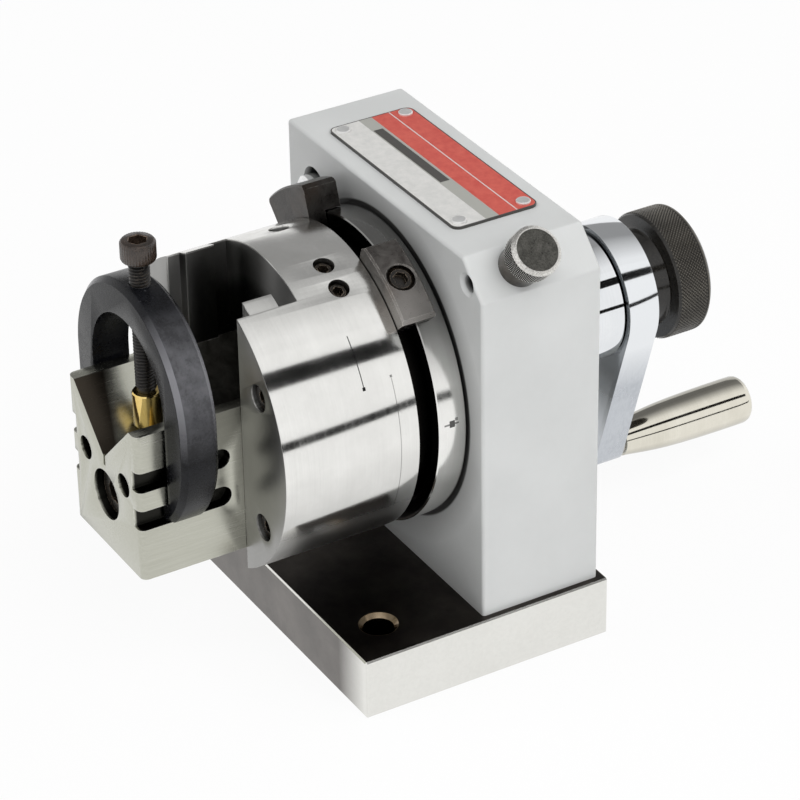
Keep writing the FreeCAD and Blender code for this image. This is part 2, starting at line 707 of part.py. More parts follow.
def make_sleeve_screws():
    length = sleeve_screw_seat_y() - sleeve_screw_end_y()
    screws = [
        cap_screw(
            seat, -ALONG_Y, SLEEVE_SCREW_RADIUS, SLEEVE_SCREW_HEAD_RADIUS, SLEEVE_SCREW_HEAD_HEIGHT, length
        )
        for seat in sleeve_screw_points(sleeve_screw_seat_y())
    ]
    return Part.makeCompound(screws)


def plunger_turned(profile):
    """Turned piece on the plunger axis, from (radius, distance from the spindle axis) corners."""
    piece = turned([(radius, distance) for radius, distance in profile], 0.0, 0.0)
    turn = FreeCAD.Rotation(ALONG_Y, plunger_point(1.0) - plunger_point(0.0))
    piece.Placement = FreeCAD.Placement(plunger_point(0.0), turn)
    return piece


def make_plunger_bush():
    guide_top = BUSH_BOTTOM + BUSH_GUIDE_LENGTH
    roof = BUSH_TOP - BUSH_TOP_WALL
    profile = [
        (PLUNGER_PIN_RADIUS + RUNNING_CLEARANCE, BUSH_BOTTOM),
        (BUSH_THREAD_RADIUS, BUSH_BOTTOM),
        (BUSH_THREAD_RADIUS, CORNER_FACE_DISTANCE),
        (BUSH_HEAD_RADIUS, CORNER_FACE_DISTANCE),
        (BUSH_HEAD_RADIUS, BUSH_TOP),
        (PLUNGER_STEM_RADIUS + RUNNING_CLEARANCE, BUSH_TOP),
        (PLUNGER_STEM_RADIUS + RUNNING_CLEARANCE, roof),
        (BUSH_SPRING_BORE, roof),
        (BUSH_SPRING_BORE, guide_top),
        (PLUNGER_PIN_RADIUS + RUNNING_CLEARANCE, guide_top),
    ]
    return plunger_turned(profile)


def make_bush_set_screw():
    tip = bush_lock_point(PLUNGER_Y - BUSH_THREAD_RADIUS)
    top = bush_lock_point(tip.y - BUSH_LOCK_LENGTH)
    return set_screw(top, tip, BUSH_LOCK_RADIUS)


def make_plunger_pin():
    collar_top = COLLAR_BOTTOM + PLUNGER_COLLAR_THICKNESS
    stem_top = KNOB_BOTTOM + KNOB_HEIGHT - KNOB_TOP_WALL / 4
    profile = [
        (0, PIN_TIP),
        (PLUNGER_PIN_RADIUS - PLUNGER_TIP_BREAK, PIN_TIP),
        (PLUNGER_PIN_RADIUS, PIN_TIP + PLUNGER_TIP_BREAK),
        (PLUNGER_PIN_RADIUS, COLLAR_BOTTOM),
        (PLUNGER_COLLAR_RADIUS, COLLAR_BOTTOM),
        (PLUNGER_COLLAR_RADIUS, collar_top),
        (PLUNGER_STEM_RADIUS, collar_top),
        (PLUNGER_STEM_RADIUS, stem_top),
        (0, stem_top),
    ]
    return plunger_turned(profile)


def make_plunger_knob():
    top = KNOB_BOTTOM + KNOB_HEIGHT
    roof = top - KNOB_TOP_WALL
    stem_top = top - KNOB_TOP_WALL / 4
    profile = [
        (KNOB_BORE_RADIUS, KNOB_BOTTOM),
        (KNOB_RADIUS - KNOB_EDGE_BREAK, KNOB_BOTTOM),
        (KNOB_RADIUS, KNOB_BOTTOM + KNOB_EDGE_BREAK),
        (KNOB_RADIUS, top - KNOB_EDGE_BREAK),
        (KNOB_RADIUS - KNOB_EDGE_BREAK, top),
        (0, top),
        (0, stem_top),
        (PLUNGER_STEM_RADIUS, stem_top),
        (PLUNGER_STEM_RADIUS, roof),
        (KNOB_BORE_RADIUS, roof),
    ]
    return plunger_turned(profile)


def make_plunger_spring():
    start = COLLAR_BOTTOM + PLUNGER_COLLAR_THICKNESS + SPRING_END_GAP + SPRING_WIRE_RADIUS
    end = BUSH_TOP - BUSH_TOP_WALL - SPRING_END_GAP - SPRING_WIRE_RADIUS
    coil_radius = (PLUNGER_STEM_RADIUS + BUSH_SPRING_BORE) / 2
    helix = Part.makeHelix((end - start) / SPRING_TURNS, end - start, coil_radius)
    section = Part.Wire([Part.makeCircle(SPRING_WIRE_RADIUS, Vector(coil_radius, 0, 0), ALONG_Y)])
    spring = Part.Wire(helix.Edges).makePipeShell([section], True, True)
    turn = FreeCAD.Rotation(ALONG_Z, plunger_point(1.0) - plunger_point(0.0))
    spring.Placement = FreeCAD.Placement(plunger_point(start), turn)
    return spring


def spigot_front_y():
    """Front end of the spindle's spigot inside the chuck."""
    return CHUCK_REAR_Y - SPIGOT_LENGTH


def make_spindle():
    profile = [
        (0, spigot_front_y()),
        (SPIGOT_RADIUS, spigot_front_y()),
        (SPIGOT_RADIUS, CHUCK_REAR_Y),
        (FLANGE_RADIUS, CHUCK_REAR_Y),
        (FLANGE_RADIUS, FLANGE_REAR_Y),
        (RING_SEAT_RADIUS, FLANGE_REAR_Y),
        (RING_SEAT_RADIUS, RING_REAR_Y),
        (FRONT_JOURNAL_RADIUS, RING_REAR_Y),
        (FRONT_JOURNAL_RADIUS, INDEX_FRONT_Y),
        (INDEX_SEAT_RADIUS, INDEX_FRONT_Y),
        (INDEX_SEAT_RADIUS, INDEX_REAR_Y),
        (PRELOAD_THREAD_RADIUS, INDEX_REAR_Y),
        (PRELOAD_THREAD_RADIUS, PRELOAD_REAR_Y),
        (SHAFT_RADIUS, PRELOAD_REAR_Y),
        (SHAFT_RADIUS, REAR_BEARING_Y),
        (REAR_JOURNAL_RADIUS, REAR_BEARING_Y),
        (REAR_JOURNAL_RADIUS, ARM_FRONT_Y),
        (CRANK_SEAT_RADIUS, ARM_FRONT_Y),
        (CRANK_SEAT_RADIUS, ARM_REAR_Y),
        (NUT_THREAD_RADIUS, ARM_REAR_Y),
        (NUT_THREAD_RADIUS, SPINDLE_END_Y - SPINDLE_END_BREAK),
        (NUT_THREAD_RADIUS - SPINDLE_END_BREAK, SPINDLE_END_Y),
        (0, SPINDLE_END_Y),
    ]
    spindle = turned(profile)
    centre_drill = Part.makeCone(
        0,
        CENTRE_HOLE_RADIUS,
        CENTRE_HOLE_DEPTH,
        Vector(0, SPINDLE_END_Y - CENTRE_HOLE_DEPTH, SPINDLE_Z),
        ALONG_Y,
    )
    spindle = spindle.cut([centre_drill, index_key_solid(), crank_key_solid()])
    for place in chuck_screw_places():
        spindle = spindle.cut(rod(CHUCK_SCREW_RADIUS, Vector(place.x, CHUCK_REAR_Y, place.z), place))
    for turn in ring_screw_turns():
        spindle = spindle.cut(about_spindle(ring_screw_shank(), turn))
    return spindle


def index_key_solid():
    """Square key half sunk in the spindle under the index plate."""
    top = SPINDLE_Z + INDEX_SEAT_RADIUS + INDEX_KEY_HEIGHT / 2
    half = INDEX_KEY_WIDTH / 2
    return block(-half, half, INDEX_FRONT_Y, INDEX_REAR_Y, top - INDEX_KEY_HEIGHT, top)


def crank_key_solid():
    """Square key half sunk in the spindle under the crank hub."""
    top = SPINDLE_Z + CRANK_SEAT_RADIUS + CRANK_KEY_HEIGHT / 2
    half = CRANK_KEY_WIDTH / 2
    return block(-half, half, ARM_FRONT_Y, ARM_REAR_Y, top - CRANK_KEY_HEIGHT, top)


def make_index_plate():
    """Notched dividing plate, dished between its hub and its rim."""
    profile = [
        (INDEX_SEAT_RADIUS, INDEX_FRONT_Y),
        (INDEX_HUB_RADIUS, INDEX_FRONT_Y),
        (INDEX_HUB_RADIUS, INDEX_FRONT_Y + INDEX_WEB_RECESS),
        (INDEX_WEB_RADIUS, INDEX_FRONT_Y + INDEX_WEB_RECESS),
        (INDEX_WEB_RADIUS, INDEX_FRONT_Y),
        (INDEX_RADIUS, INDEX_FRONT_Y),
        (INDEX_RADIUS, INDEX_REAR_Y),
        (INDEX_WEB_RADIUS, INDEX_REAR_Y),
        (INDEX_WEB_RADIUS, INDEX_REAR_Y - INDEX_WEB_RECESS),
        (INDEX_HUB_RADIUS, INDEX_REAR_Y - INDEX_WEB_RECESS),
        (INDEX_HUB_RADIUS, INDEX_REAR_Y),
        (INDEX_SEAT_RADIUS, INDEX_REAR_Y),
    ]
    plate = turned(profile)
    half = INDEX_NOTCH_WIDTH / 2
    floor = SPINDLE_Z + INDEX_RADIUS - INDEX_NOTCH_DEPTH
    outside = SPINDLE_Z + INDEX_RADIUS + INDEX_NOTCH_DEPTH
    notch = block(-half, half, INDEX_FRONT_Y, INDEX_REAR_Y, floor, outside)
    step = 360.0 / INDEX_NOTCH_COUNT
    cutters = [about_spindle(notch, PLUNGER_ANGLE + step * i) for i in range(INDEX_NOTCH_COUNT)]
    return plate.cut(cutters).cut(index_key_solid())


def make_preload_nut():
    nut = race(PRELOAD_THREAD_RADIUS, PRELOAD_NUT_RADIUS, INDEX_REAR_Y, PRELOAD_NUT_WIDTH)
    half = PRELOAD_SLOT_WIDTH / 2
    rim = SPINDLE_Z + PRELOAD_NUT_RADIUS
    low, high = rim - PRELOAD_SLOT_DEPTH, rim + PRELOAD_SLOT_DEPTH
    slot = block(-half, half, INDEX_REAR_Y, PRELOAD_REAR_Y, low, high)
    step = 360.0 / PRELOAD_SLOT_COUNT
    return nut.cut([about_spindle(slot, step * i) for i in range(PRELOAD_SLOT_COUNT)])


def ring_screw_turns():
    """Angles of the ring screws about the spindle axis."""
    return [360.0 / RING_SCREW_COUNT * i for i in range(RING_SCREW_COUNT)]


def ring_screw_shank():
    """Shank of the ring screw at the top of its circle."""
    z = SPINDLE_Z + RING_SCREW_CIRCLE
    return rod_y(RING_SCREW_RADIUS, RING_REAR_Y - RING_SCREW_LENGTH, RING_REAR_Y, 0.0, z)


def ring_screw_head():
    """Countersunk head of the ring screw at the top of its circle, flush with the ring's rear face."""
    sink = RING_SCREW_SINK_RADIUS - RING_SCREW_RADIUS
    place = Vector(0, RING_REAR_Y - sink, SPINDLE_Z + RING_SCREW_CIRCLE)
    return Part.makeCone(RING_SCREW_RADIUS, RING_SCREW_SINK_RADIUS, sink, place, ALONG_Y)


def make_stop_ring():
    profile = [
        (RING_LIP_RADIUS, RING_FRONT_Y),
        (RING_RADIUS - RING_EDGE_BREAK, RING_FRONT_Y),
        (RING_RADIUS, RING_FRONT_Y + RING_EDGE_BREAK),
        (RING_RADIUS, RING_REAR_Y - RING_EDGE_BREAK),
        (RING_RADIUS - RING_EDGE_BREAK, RING_REAR_Y),
        (RING_SEAT_RADIUS, RING_REAR_Y),
        (RING_SEAT_RADIUS, FLANGE_REAR_Y),
        (RING_LIP_RADIUS, FLANGE_REAR_Y),
    ]
    ring = turned(profile)
    for turn in ring_screw_turns():
        ring = ring.cut([about_spindle(ring_screw_shank(), turn), about_spindle(ring_screw_head(), turn)])
    return ring


def make_ring_screws():
    sink = RING_SCREW_SINK_RADIUS - RING_SCREW_RADIUS
    z = SPINDLE_Z + RING_SCREW_CIRCLE
    socket = hexagon_bar(RING_SCREW_RADIUS, Vector(0, RING_REAR_Y - sink, z), Vector(0, RING_REAR_Y, z))
    screw = joined([ring_screw_shank(), ring_screw_head()]).cut(socket)
    return Part.makeCompound([about_spindle(screw, turn) for turn in ring_screw_turns()])


def chuck_screw_places():
    """End points of the four long screws that hold the chuck on the spindle flange."""
    end_y = CHUCK_REAR_Y + CHUCK_SCREW_GRIP
    return [
        Vector(side_x * CHUCK_SCREW_X, end_y, SPINDLE_Z + side_z * CHUCK_SCREW_RISE)
        for side_x in (-1, 1)
        for side_z in (-1, 1)
    ]


def chuck_screw_seat_y():
    """Plane of the seats under the heads of the chuck screws."""
    return CHUCK_FRONT_Y + CHUCK_SCREW_SINK + CHUCK_SCREW_HEAD_HEIGHT


def radial_point(radius, y, angle):
    """Point around the spindle axis; the angle runs from the top towards +X."""
    turn = math.radians(angle)
    return Vector(radius * math.sin(turn), y, SPINDLE_Z + radius * math.cos(turn))


def make_chuck_body():
    brk = CHUCK_EDGE_BREAK
    body = turned(
        [
            (0, CHUCK_FRONT_Y),
            (CHUCK_RADIUS - brk, CHUCK_FRONT_Y),
            (CHUCK_RADIUS, CHUCK_FRONT_Y + brk),
            (CHUCK_RADIUS, CHUCK_REAR_Y - brk),
            (CHUCK_RADIUS - brk, CHUCK_REAR_Y),
            (SPIGOT_RADIUS, CHUCK_REAR_Y),
            (SPIGOT_RADIUS, spigot_front_y() - SPIGOT_END_GAP),
            (0, spigot_front_y() - SPIGOT_END_GAP),
        ]
    )
    low = SPINDLE_Z - CHUCK_RADIUS
    high = SPINDLE_Z + CHUCK_RADIUS
    body = body.cut(
        [
            block(-SLOT_HALF_WIDTH, SLOT_HALF_WIDTH, CHUCK_FRONT_Y, SLOT_LIP_FRONT_Y, low, high),
            block(-SLOT_LIP_HALF_WIDTH, SLOT_LIP_HALF_WIDTH, SLOT_LIP_FRONT_Y, SLOT_HEAD_FRONT_Y, low, high),
            block(-SLOT_HALF_WIDTH, SLOT_HALF_WIDTH, SLOT_HEAD_FRONT_Y, SLOT_FLOOR_Y, low, high),
        ]
    )
    for place in chuck_screw_places():
        front = Vector(place.x, CHUCK_FRONT_Y, place.z)
        seat = Vector(place.x, chuck_screw_seat_y(), place.z)
        rear = Vector(place.x, CHUCK_REAR_Y, place.z)
        body = body.cut(rod(CHUCK_SCREW_HEAD_RADIUS + COUNTERBORE_CLEARANCE, front, seat))
        body = body.cut(rod(CHUCK_SCREW_RADIUS + SHANK_CLEARANCE, front, rear))
    for angle in CHUCK_SET_SCREW_ANGLES:
        inner = radial_point(SPIGOT_RADIUS / 2, CHUCK_SET_SCREW_Y, angle)
        outer = radial_point(CHUCK_RADIUS + CHUCK_SET_SCREW_SINK, CHUCK_SET_SCREW_Y, angle)
        body = body.cut(rod(CHUCK_SET_SCREW_RADIUS, inner, outer))
    return body


def make_chuck_screws():
    screws = []
    for place in chuck_screw_places():
        seat = Vector(place.x, chuck_screw_seat_y(), place.z)
        length = place.y - seat.y
        screws.append(
            cap_screw(
                seat, ALONG_Y, CHUCK_SCREW_RADIUS, CHUCK_SCREW_HEAD_RADIUS, CHUCK_SCREW_HEAD_HEIGHT, length
            )
        )
    return Part.makeCompound(screws)


def make_chuck_set_screws():
    bite = SPIGOT_RADIUS + SHANK_CLEARANCE
    screws = []
    for angle in CHUCK_SET_SCREW_ANGLES:
        top = radial_point(CHUCK_RADIUS - CHUCK_SET_SCREW_SINK, CHUCK_SET_SCREW_Y, angle)
        tip = radial_point(bite, CHUCK_SET_SCREW_Y, angle)
        screws.append(set_screw(top, tip, CHUCK_SET_SCREW_RADIUS))
    return Part.makeCompound(screws)


def dog_screw_tip_radius():
    """Distance of a dog screw's tip from the spindle axis."""
    return RING_RADIUS + DOG_SCREW_TIP_GAP


def along_y_at(edge, least_radius):
    """True for a straight edge along Y that lies outside a radius from the spindle axis."""
    centre = edge.CenterOfMass
    outside = math.hypot(centre.x, centre.z - SPINDLE_Z) > least_radius
    return outside and abs(edge.tangentAt(edge.FirstParameter).y) > 0.9


def make_stop_dog(top_radius, angle, span):
    """Stop dog: a hook section swept through its span, with a leg in the groove and a foot under the rim."""
    front = CHUCK_REAR_Y + DOG_FRONT_CLEARANCE
    leg_rear = RING_FRONT_Y - DOG_RADIAL_CLEARANCE
    saddle = RING_RADIUS + DOG_RADIAL_CLEARANCE
    sole = FLANGE_RADIUS + DOG_RADIAL_CLEARANCE
    foot_top = sole + DOG_FOOT_HEIGHT
    brk = DOG_EDGE_BREAK
    profile = [
        (sole, front),
        (top_radius - brk, front),
        (top_radius, front + brk),
        (top_radius, DOG_REAR_Y - brk),
        (top_radius - brk, DOG_REAR_Y),
        (saddle, DOG_REAR_Y),
        (saddle, leg_rear),
        (foot_top, leg_rear),
        (foot_top, leg_rear + DOG_FOOT_REACH),
        (sole, leg_rear + DOG_FOOT_REACH),
    ]
    dog = turned(profile, sweep=span)
    near_top = top_radius - brk
    ends = edges_where(dog, lambda centre, edge: along_y_at(edge, near_top))
    dog = dog.makeChamfer(DOG_END_BREAK, ends)
    dog = about_spindle(dog, angle - span / 2 - DOG_PROFILE_ANGLE)
    tip = radial_point(dog_screw_tip_radius(), DOG_SCREW_Y, angle)
    top = radial_point(top_radius, DOG_SCREW_Y, angle)
    bore = rod(DOG_SCREW_RADIUS, radial_point(saddle - DOG_RADIAL_CLEARANCE, DOG_SCREW_Y, angle), top)
    sink_start = radial_point(top_radius - DOG_SCREW_COUNTERSINK, DOG_SCREW_Y, angle)
    mouth = DOG_SCREW_RADIUS + DOG_SCREW_COUNTERSINK
    sink = Part.makeCone(DOG_SCREW_RADIUS, mouth, DOG_SCREW_COUNTERSINK, sink_start, top - tip)
    return dog.cut([bore, sink])


def make_dog_screw(top_radius, angle):
    top = radial_point(top_radius - DOG_SCREW_SINK, DOG_SCREW_Y, angle)
    tip = radial_point(dog_screw_tip_radius(), DOG_SCREW_Y, angle)
    return set_screw(top, tip, DOG_SCREW_RADIUS)


def v_cutter(y0, y1):
    """Solid that cuts the V groove and the narrow relief under its apex."""
    rise = BLOCK_TOP_Z - V_APEX_Z
    reach = rise * math.tan(math.radians(V_HALF_ANGLE))
    wedge = prism_y([(0, V_APEX_Z), (reach, BLOCK_TOP_Z), (-reach, BLOCK_TOP_Z)], y0, y1)
    half = V_RELIEF_WIDTH / 2
    relief = block(-half, half, y0, y1, V_APEX_Z - V_RELIEF_DEPTH, V_APEX_Z + V_RELIEF_WIDTH)
    return joined([wedge, relief])


def groove_cutter(side, z):
    """Milled groove along one side of the V block, open in front and round-ended behind."""
    radius = GROOVE_HEIGHT / 2
    end = BLOCK_FRONT_Y + GROOVE_LENGTH - radius
    inner = side * (BLOCK_HALF_WIDTH - GROOVE_DEPTH)
    outer = side * BLOCK_HALF_WIDTH
    x0, x1 = min(inner, outer), max(inner, outer)
    run = block(x0, x1, BLOCK_FRONT_Y, end, z - radius, z + radius)
    return joined([run, rod(radius, Vector(x0, end, z), Vector(x1, end, z))])


def block_seat_y():
    """Plane of the seat under the head of the V block's screw."""
    return BLOCK_FRONT_Y + BLOCK_SCREW_SINK + BLOCK_SCREW_HEAD_HEIGHT


def dowel_places():
    """Centres of the two dowels between the V block and the carriage."""
    return [(-DOWEL_X, DOWEL_Z), (DOWEL_X, DOWEL_Z)]


def lock_places():
    """Centres of the two screws that lock the carriage, in line with the V block's access holes."""
    return [(-BLOCK_ACCESS_X, BLOCK_ACCESS_Z), (BLOCK_ACCESS_X, BLOCK_ACCESS_Z)]


def make_v_block():
    half = BLOCK_HALF_WIDTH
    body = block(-half, half, BLOCK_FRONT_Y, BLOCK_REAR_Y, BLOCK_BOTTOM_Z, BLOCK_TOP_Z)
    upright = edges_where(
        body,
        lambda centre, edge: centre.y < BLOCK_FRONT_Y + BLOCK_EDGE_RADIUS and abs(centre.x) > half * 0.9,
    )
    body = body.makeFillet(BLOCK_EDGE_RADIUS, upright)
    top_sides = edges_where(
        body,
        lambda centre, edge: centre.z > BLOCK_TOP_Z - 0.01 and abs(centre.x) > half * 0.9,
    )
    body = body.makeChamfer(BLOCK_TOP_BREAK, top_sides)
    body = body.cut(v_cutter(BLOCK_FRONT_Y, BLOCK_REAR_Y))
    for side in (-1, 1):
        for z in (LOWER_GROOVE_Z, UPPER_GROOVE_Z):
            body = body.cut(groove_cutter(side, z))
    body = body.cut(
        [
            rod_y(BLOCK_SCREW_BORE_RADIUS, BLOCK_FRONT_Y, block_seat_y(), 0.0, BLOCK_SCREW_Z),
            rod_y(BLOCK_SCREW_RADIUS + SHANK_CLEARANCE, BLOCK_FRONT_Y, BLOCK_REAR_Y, 0.0, BLOCK_SCREW_Z),
        ]
    )
    for x, z in lock_places():
        body = body.cut(rod_y(BLOCK_ACCESS_RADIUS, BLOCK_FRONT_Y, BLOCK_REAR_Y, x, z))
    for x, z in dowel_places():
        body = body.cut(rod_y(DOWEL_RADIUS, BLOCK_REAR_Y - DOWEL_LENGTH / 2, BLOCK_REAR_Y, x, z))
    return body


def make_carriage():
    neck = SLOT_LIP_HALF_WIDTH - SLIDE_CLEARANCE
    head_front = SLOT_HEAD_FRONT_Y + SLIDE_CLEARANCE
    half = BLOCK_HALF_WIDTH
    body = joined(
        [
            block(-neck, neck, BLOCK_REAR_Y, head_front, BLOCK_BOTTOM_Z, BLOCK_TOP_Z),
            block(-half, half, head_front, CARRIAGE_REAR_Y, BLOCK_BOTTOM_Z, BLOCK_TOP_Z),
        ]
    )
    body = body.cut(v_cutter(BLOCK_REAR_Y, CARRIAGE_REAR_Y))
    screw_end = BLOCK_REAR_Y + BLOCK_SCREW_GRIP
    body = body.cut(rod_y(BLOCK_SCREW_RADIUS, BLOCK_REAR_Y, screw_end, 0.0, BLOCK_SCREW_Z))
    for x, z in lock_places():
        body = body.cut(rod_y(CARRIAGE_LOCK_RADIUS, BLOCK_REAR_Y, CARRIAGE_REAR_Y, x, z))
    for x, z in dowel_places():
        body = body.cut(rod_y(DOWEL_RADIUS, BLOCK_REAR_Y, BLOCK_REAR_Y + DOWEL_LENGTH / 2, x, z))
    return body


def make_v_block_screw():
    seat = Vector(0, block_seat_y(), BLOCK_SCREW_Z)
    length = BLOCK_REAR_Y + BLOCK_SCREW_GRIP - seat.y
    return cap_screw(
        seat, ALONG_Y, BLOCK_SCREW_RADIUS, BLOCK_SCREW_HEAD_RADIUS, BLOCK_SCREW_HEAD_HEIGHT, length
    )


def make_v_block_dowels():
    start = BLOCK_REAR_Y - DOWEL_LENGTH / 2
    end = start + DOWEL_LENGTH
    return Part.makeCompound([rod_y(DOWEL_RADIUS, start, end, x, z) for x, z in dowel_places()])


def make_carriage_lock_screws():
    tip_y = BLOCK_REAR_Y + CARRIAGE_LOCK_SINK + CARRIAGE_LOCK_LENGTH
    top_y = tip_y - CARRIAGE_LOCK_LENGTH
    screws = [
        set_screw(Vector(x, top_y, z), Vector(x, tip_y, z), CARRIAGE_LOCK_RADIUS) for x, z in lock_places()
    ]
    return Part.makeCompound(screws)


def make_clamp_yoke():
    """C-shaped yoke: an arch with straight flanks that closes in again to two lips in the lower grooves."""
    rear = YOKE_FRONT_Y + YOKE_WIDTH
    radius = YOKE_OUTER_RADIUS
    upper = [Vector(x, YOKE_FRONT_Y, YOKE_UPPER_Z) for x in (-radius, radius)]
    lower = [Vector(x, YOKE_FRONT_Y, YOKE_LOWER_Z) for x in (-radius, radius)]
    top = Part.Arc(upper[0], Vector(0, YOKE_FRONT_Y, YOKE_UPPER_Z + radius), upper[1])
    bottom = Part.Arc(lower[1], Vector(0, YOKE_FRONT_Y, YOKE_LOWER_Z - radius), lower[0])
    left, right = (Part.makeLine(high, low) for high, low in zip(upper, lower))
    outline = Part.Wire([top.toShape(), right, bottom.toShape(), left])
    body = Part.Face(outline).extrude(Vector(0, YOKE_WIDTH, 0))
    body = body.makeChamfer(YOKE_EDGE_BREAK, edges_where(body, on_yoke_rim))
    lip_low = LOWER_GROOVE_Z - GROOVE_HEIGHT / 2 + YOKE_LIP_CLEARANCE
    lip_high = LOWER_GROOVE_Z + GROOVE_HEIGHT / 2 - YOKE_LIP_CLEARANCE
    lip_x = YOKE_LIP_GAP / 2
    below = YOKE_LOWER_Z - radius
    body = body.cut(
        [
            block(-radius, radius, YOKE_FRONT_Y, rear, below, lip_low),
            block(-lip_x, lip_x, YOKE_FRONT_Y, rear, below, YOKE_INNER_Z),
            block(-YOKE_INNER_RADIUS, YOKE_INNER_RADIUS, YOKE_FRONT_Y, rear, lip_high, YOKE_INNER_Z),
            rod_y(YOKE_INNER_RADIUS, YOKE_FRONT_Y, rear, 0.0, YOKE_INNER_Z),
        ]
    )
    thread = CLAMP_SCREW_RADIUS + RUNNING_CLEARANCE
    return body.cut(rod_z(thread, YOKE_INNER_Z, YOKE_UPPER_Z + radius, 0.0, YOKE_CENTRE_Y))


def on_yoke_rim(centre, edge):
    """True for the outline edges on the front and rear faces of the yoke."""
    return abs(abs(centre.y - YOKE_CENTRE_Y) - YOKE_WIDTH / 2) < 0.01


def upright_turned(profile, x, y):
    """Turned piece on an upright axis, from (radius, z) corners."""
    corners = [Vector(x + radius, y, z) for radius, z in profile]
    face = Part.Face(Part.makePolygon(corners + corners[:1]))
    return face.revolve(Vector(x, y, 0), ALONG_Z, 360)


def make_clamp_screw():
    head_bottom = CLAMP_HEAD_TOP_Z - CLAMP_HEAD_HEIGHT
    shank_bottom = TIP_TOP_Z + RUNNING_CLEARANCE
    nose_bottom = TIP_TOP_Z - CLAMP_NOSE_LENGTH + RUNNING_CLEARANCE
    brk = CLAMP_EDGE_BREAK
    profile = [
        (0, nose_bottom),
        (CLAMP_NOSE_RADIUS, nose_bottom),
        (CLAMP_NOSE_RADIUS, shank_bottom),
        (CLAMP_SCREW_RADIUS, shank_bottom),
        (CLAMP_SCREW_RADIUS, head_bottom - CLAMP_NECK_LENGTH),
        (CLAMP_NECK_RADIUS, head_bottom - CLAMP_NECK_LENGTH),
        (CLAMP_NECK_RADIUS, head_bottom),
        (CLAMP_HEAD_RADIUS - brk, head_bottom),
        (CLAMP_HEAD_RADIUS, head_bottom + brk),
        (CLAMP_HEAD_RADIUS, CLAMP_HEAD_TOP_Z - brk),
        (CLAMP_HEAD_RADIUS - brk, CLAMP_HEAD_TOP_Z),
        (0, CLAMP_HEAD_TOP_Z),
    ]
    screw = upright_turned(profile, 0.0, YOKE_CENTRE_Y)
    floor = CLAMP_HEAD_TOP_Z - CLAMP_HEAD_HEIGHT * SOCKET_DEPTH_SHARE
    flats = 2 * CLAMP_HEAD_RADIUS * SOCKET_SHARE_OF_HEAD
    socket = hexagon_bar(flats, Vector(0, YOKE_CENTRE_Y, floor), Vector(0, YOKE_CENTRE_Y, CLAMP_HEAD_TOP_Z))
    return screw.cut(socket)


def make_brass_tip():
    bore = CLAMP_NOSE_RADIUS + RUNNING_CLEARANCE
    bore_bottom = TIP_TOP_Z - CLAMP_NOSE_LENGTH
    brk = TIP_EDGE_BREAK
    profile = [
        (0, TIP_BOTTOM_Z),
        (TIP_RADIUS - brk, TIP_BOTTOM_Z),
        (TIP_RADIUS, TIP_BOTTOM_Z + brk),
        (TIP_RADIUS, TIP_TOP_Z - brk),
        (TIP_RADIUS - brk, TIP_TOP_Z),
        (bore, TIP_TOP_Z),
        (bore, bore_bottom),
        (0, bore_bottom),
    ]
    return upright_turned(profile, 0.0, YOKE_CENTRE_Y)


def arm_tangent_angle():
    """Angle between the arm's centre line and each of its flanks."""
    length = math.hypot(ARM_END_X, ARM_END_DROP)
    return math.asin((ARM_HUB_RADIUS - ARM_END_RADIUS) / length)


def make_crank_arm():
    """Arm with a large hub and a small end, joined by flanks that touch both circles."""
    lean = math.atan2(ARM_END_X, -ARM_END_DROP)
    corners = []
    for side in (-1, 1):
        normal = lean + side * (math.pi / 2 - arm_tangent_angle())
        across, up = math.sin(normal), math.cos(normal)
        pair = [
            (ARM_HUB_RADIUS * across, SPINDLE_Z + ARM_HUB_RADIUS * up),
            (ARM_END_X + ARM_END_RADIUS * across, ARM_END_Z + ARM_END_RADIUS * up),
        ]
        corners += pair if side < 0 else pair[::-1]
    arm = joined(
        [
            rod_y(ARM_HUB_RADIUS, ARM_FRONT_Y, ARM_REAR_Y),
            rod_y(ARM_END_RADIUS, ARM_FRONT_Y, ARM_REAR_Y, ARM_END_X, ARM_END_Z),
            prism_y(corners, ARM_FRONT_Y, ARM_REAR_Y),
        ]
    )
    middle = (ARM_FRONT_Y + ARM_REAR_Y) / 2
    rims = edges_where(arm, lambda centre, edge: abs(abs(centre.y - middle) - ARM_THICKNESS / 2) < 0.01)
    arm = arm.makeFillet(ARM_EDGE_RADIUS, rims)
    return arm.cut(
        [
            rod_y(CRANK_SEAT_RADIUS, ARM_FRONT_Y, ARM_REAR_Y),
            rod_y(STUD_RADIUS, ARM_FRONT_Y, ARM_REAR_Y, ARM_END_X, ARM_END_Z),
            crank_key_solid(),
        ]
    )


def make_lock_washer():
    return rod_y(WASHER_RADIUS, ARM_REAR_Y, WASHER_REAR_Y).cut(
        rod_y(NUT_THREAD_RADIUS + RUNNING_CLEARANCE, ARM_REAR_Y, WASHER_REAR_Y)
    )


def make_knurled_nut():
    front = WASHER_REAR_Y + NUT_FACE_GAP
    collar_front = front + NUT_NECK_LENGTH
    grip_front = collar_front + NUT_FRONT_BREAK
    rear = grip_front + NUT_GRIP_LENGTH
    bore = NUT_THREAD_RADIUS + RUNNING_CLEARANCE
    profile = [
        (bore, front),
        (NUT_NECK_RADIUS, front),
        (NUT_NECK_RADIUS, collar_front),
        (NUT_RADIUS - NUT_FRONT_BREAK, collar_front),
        (NUT_RADIUS, grip_front),
        (NUT_RADIUS, rear - NUT_REAR_BREAK),
        (NUT_RADIUS - NUT_REAR_BREAK, rear),
        (bore + NUT_BORE_SINK, rear),
        (bore, rear - NUT_BORE_SINK),
    ]
    return turned(profile)


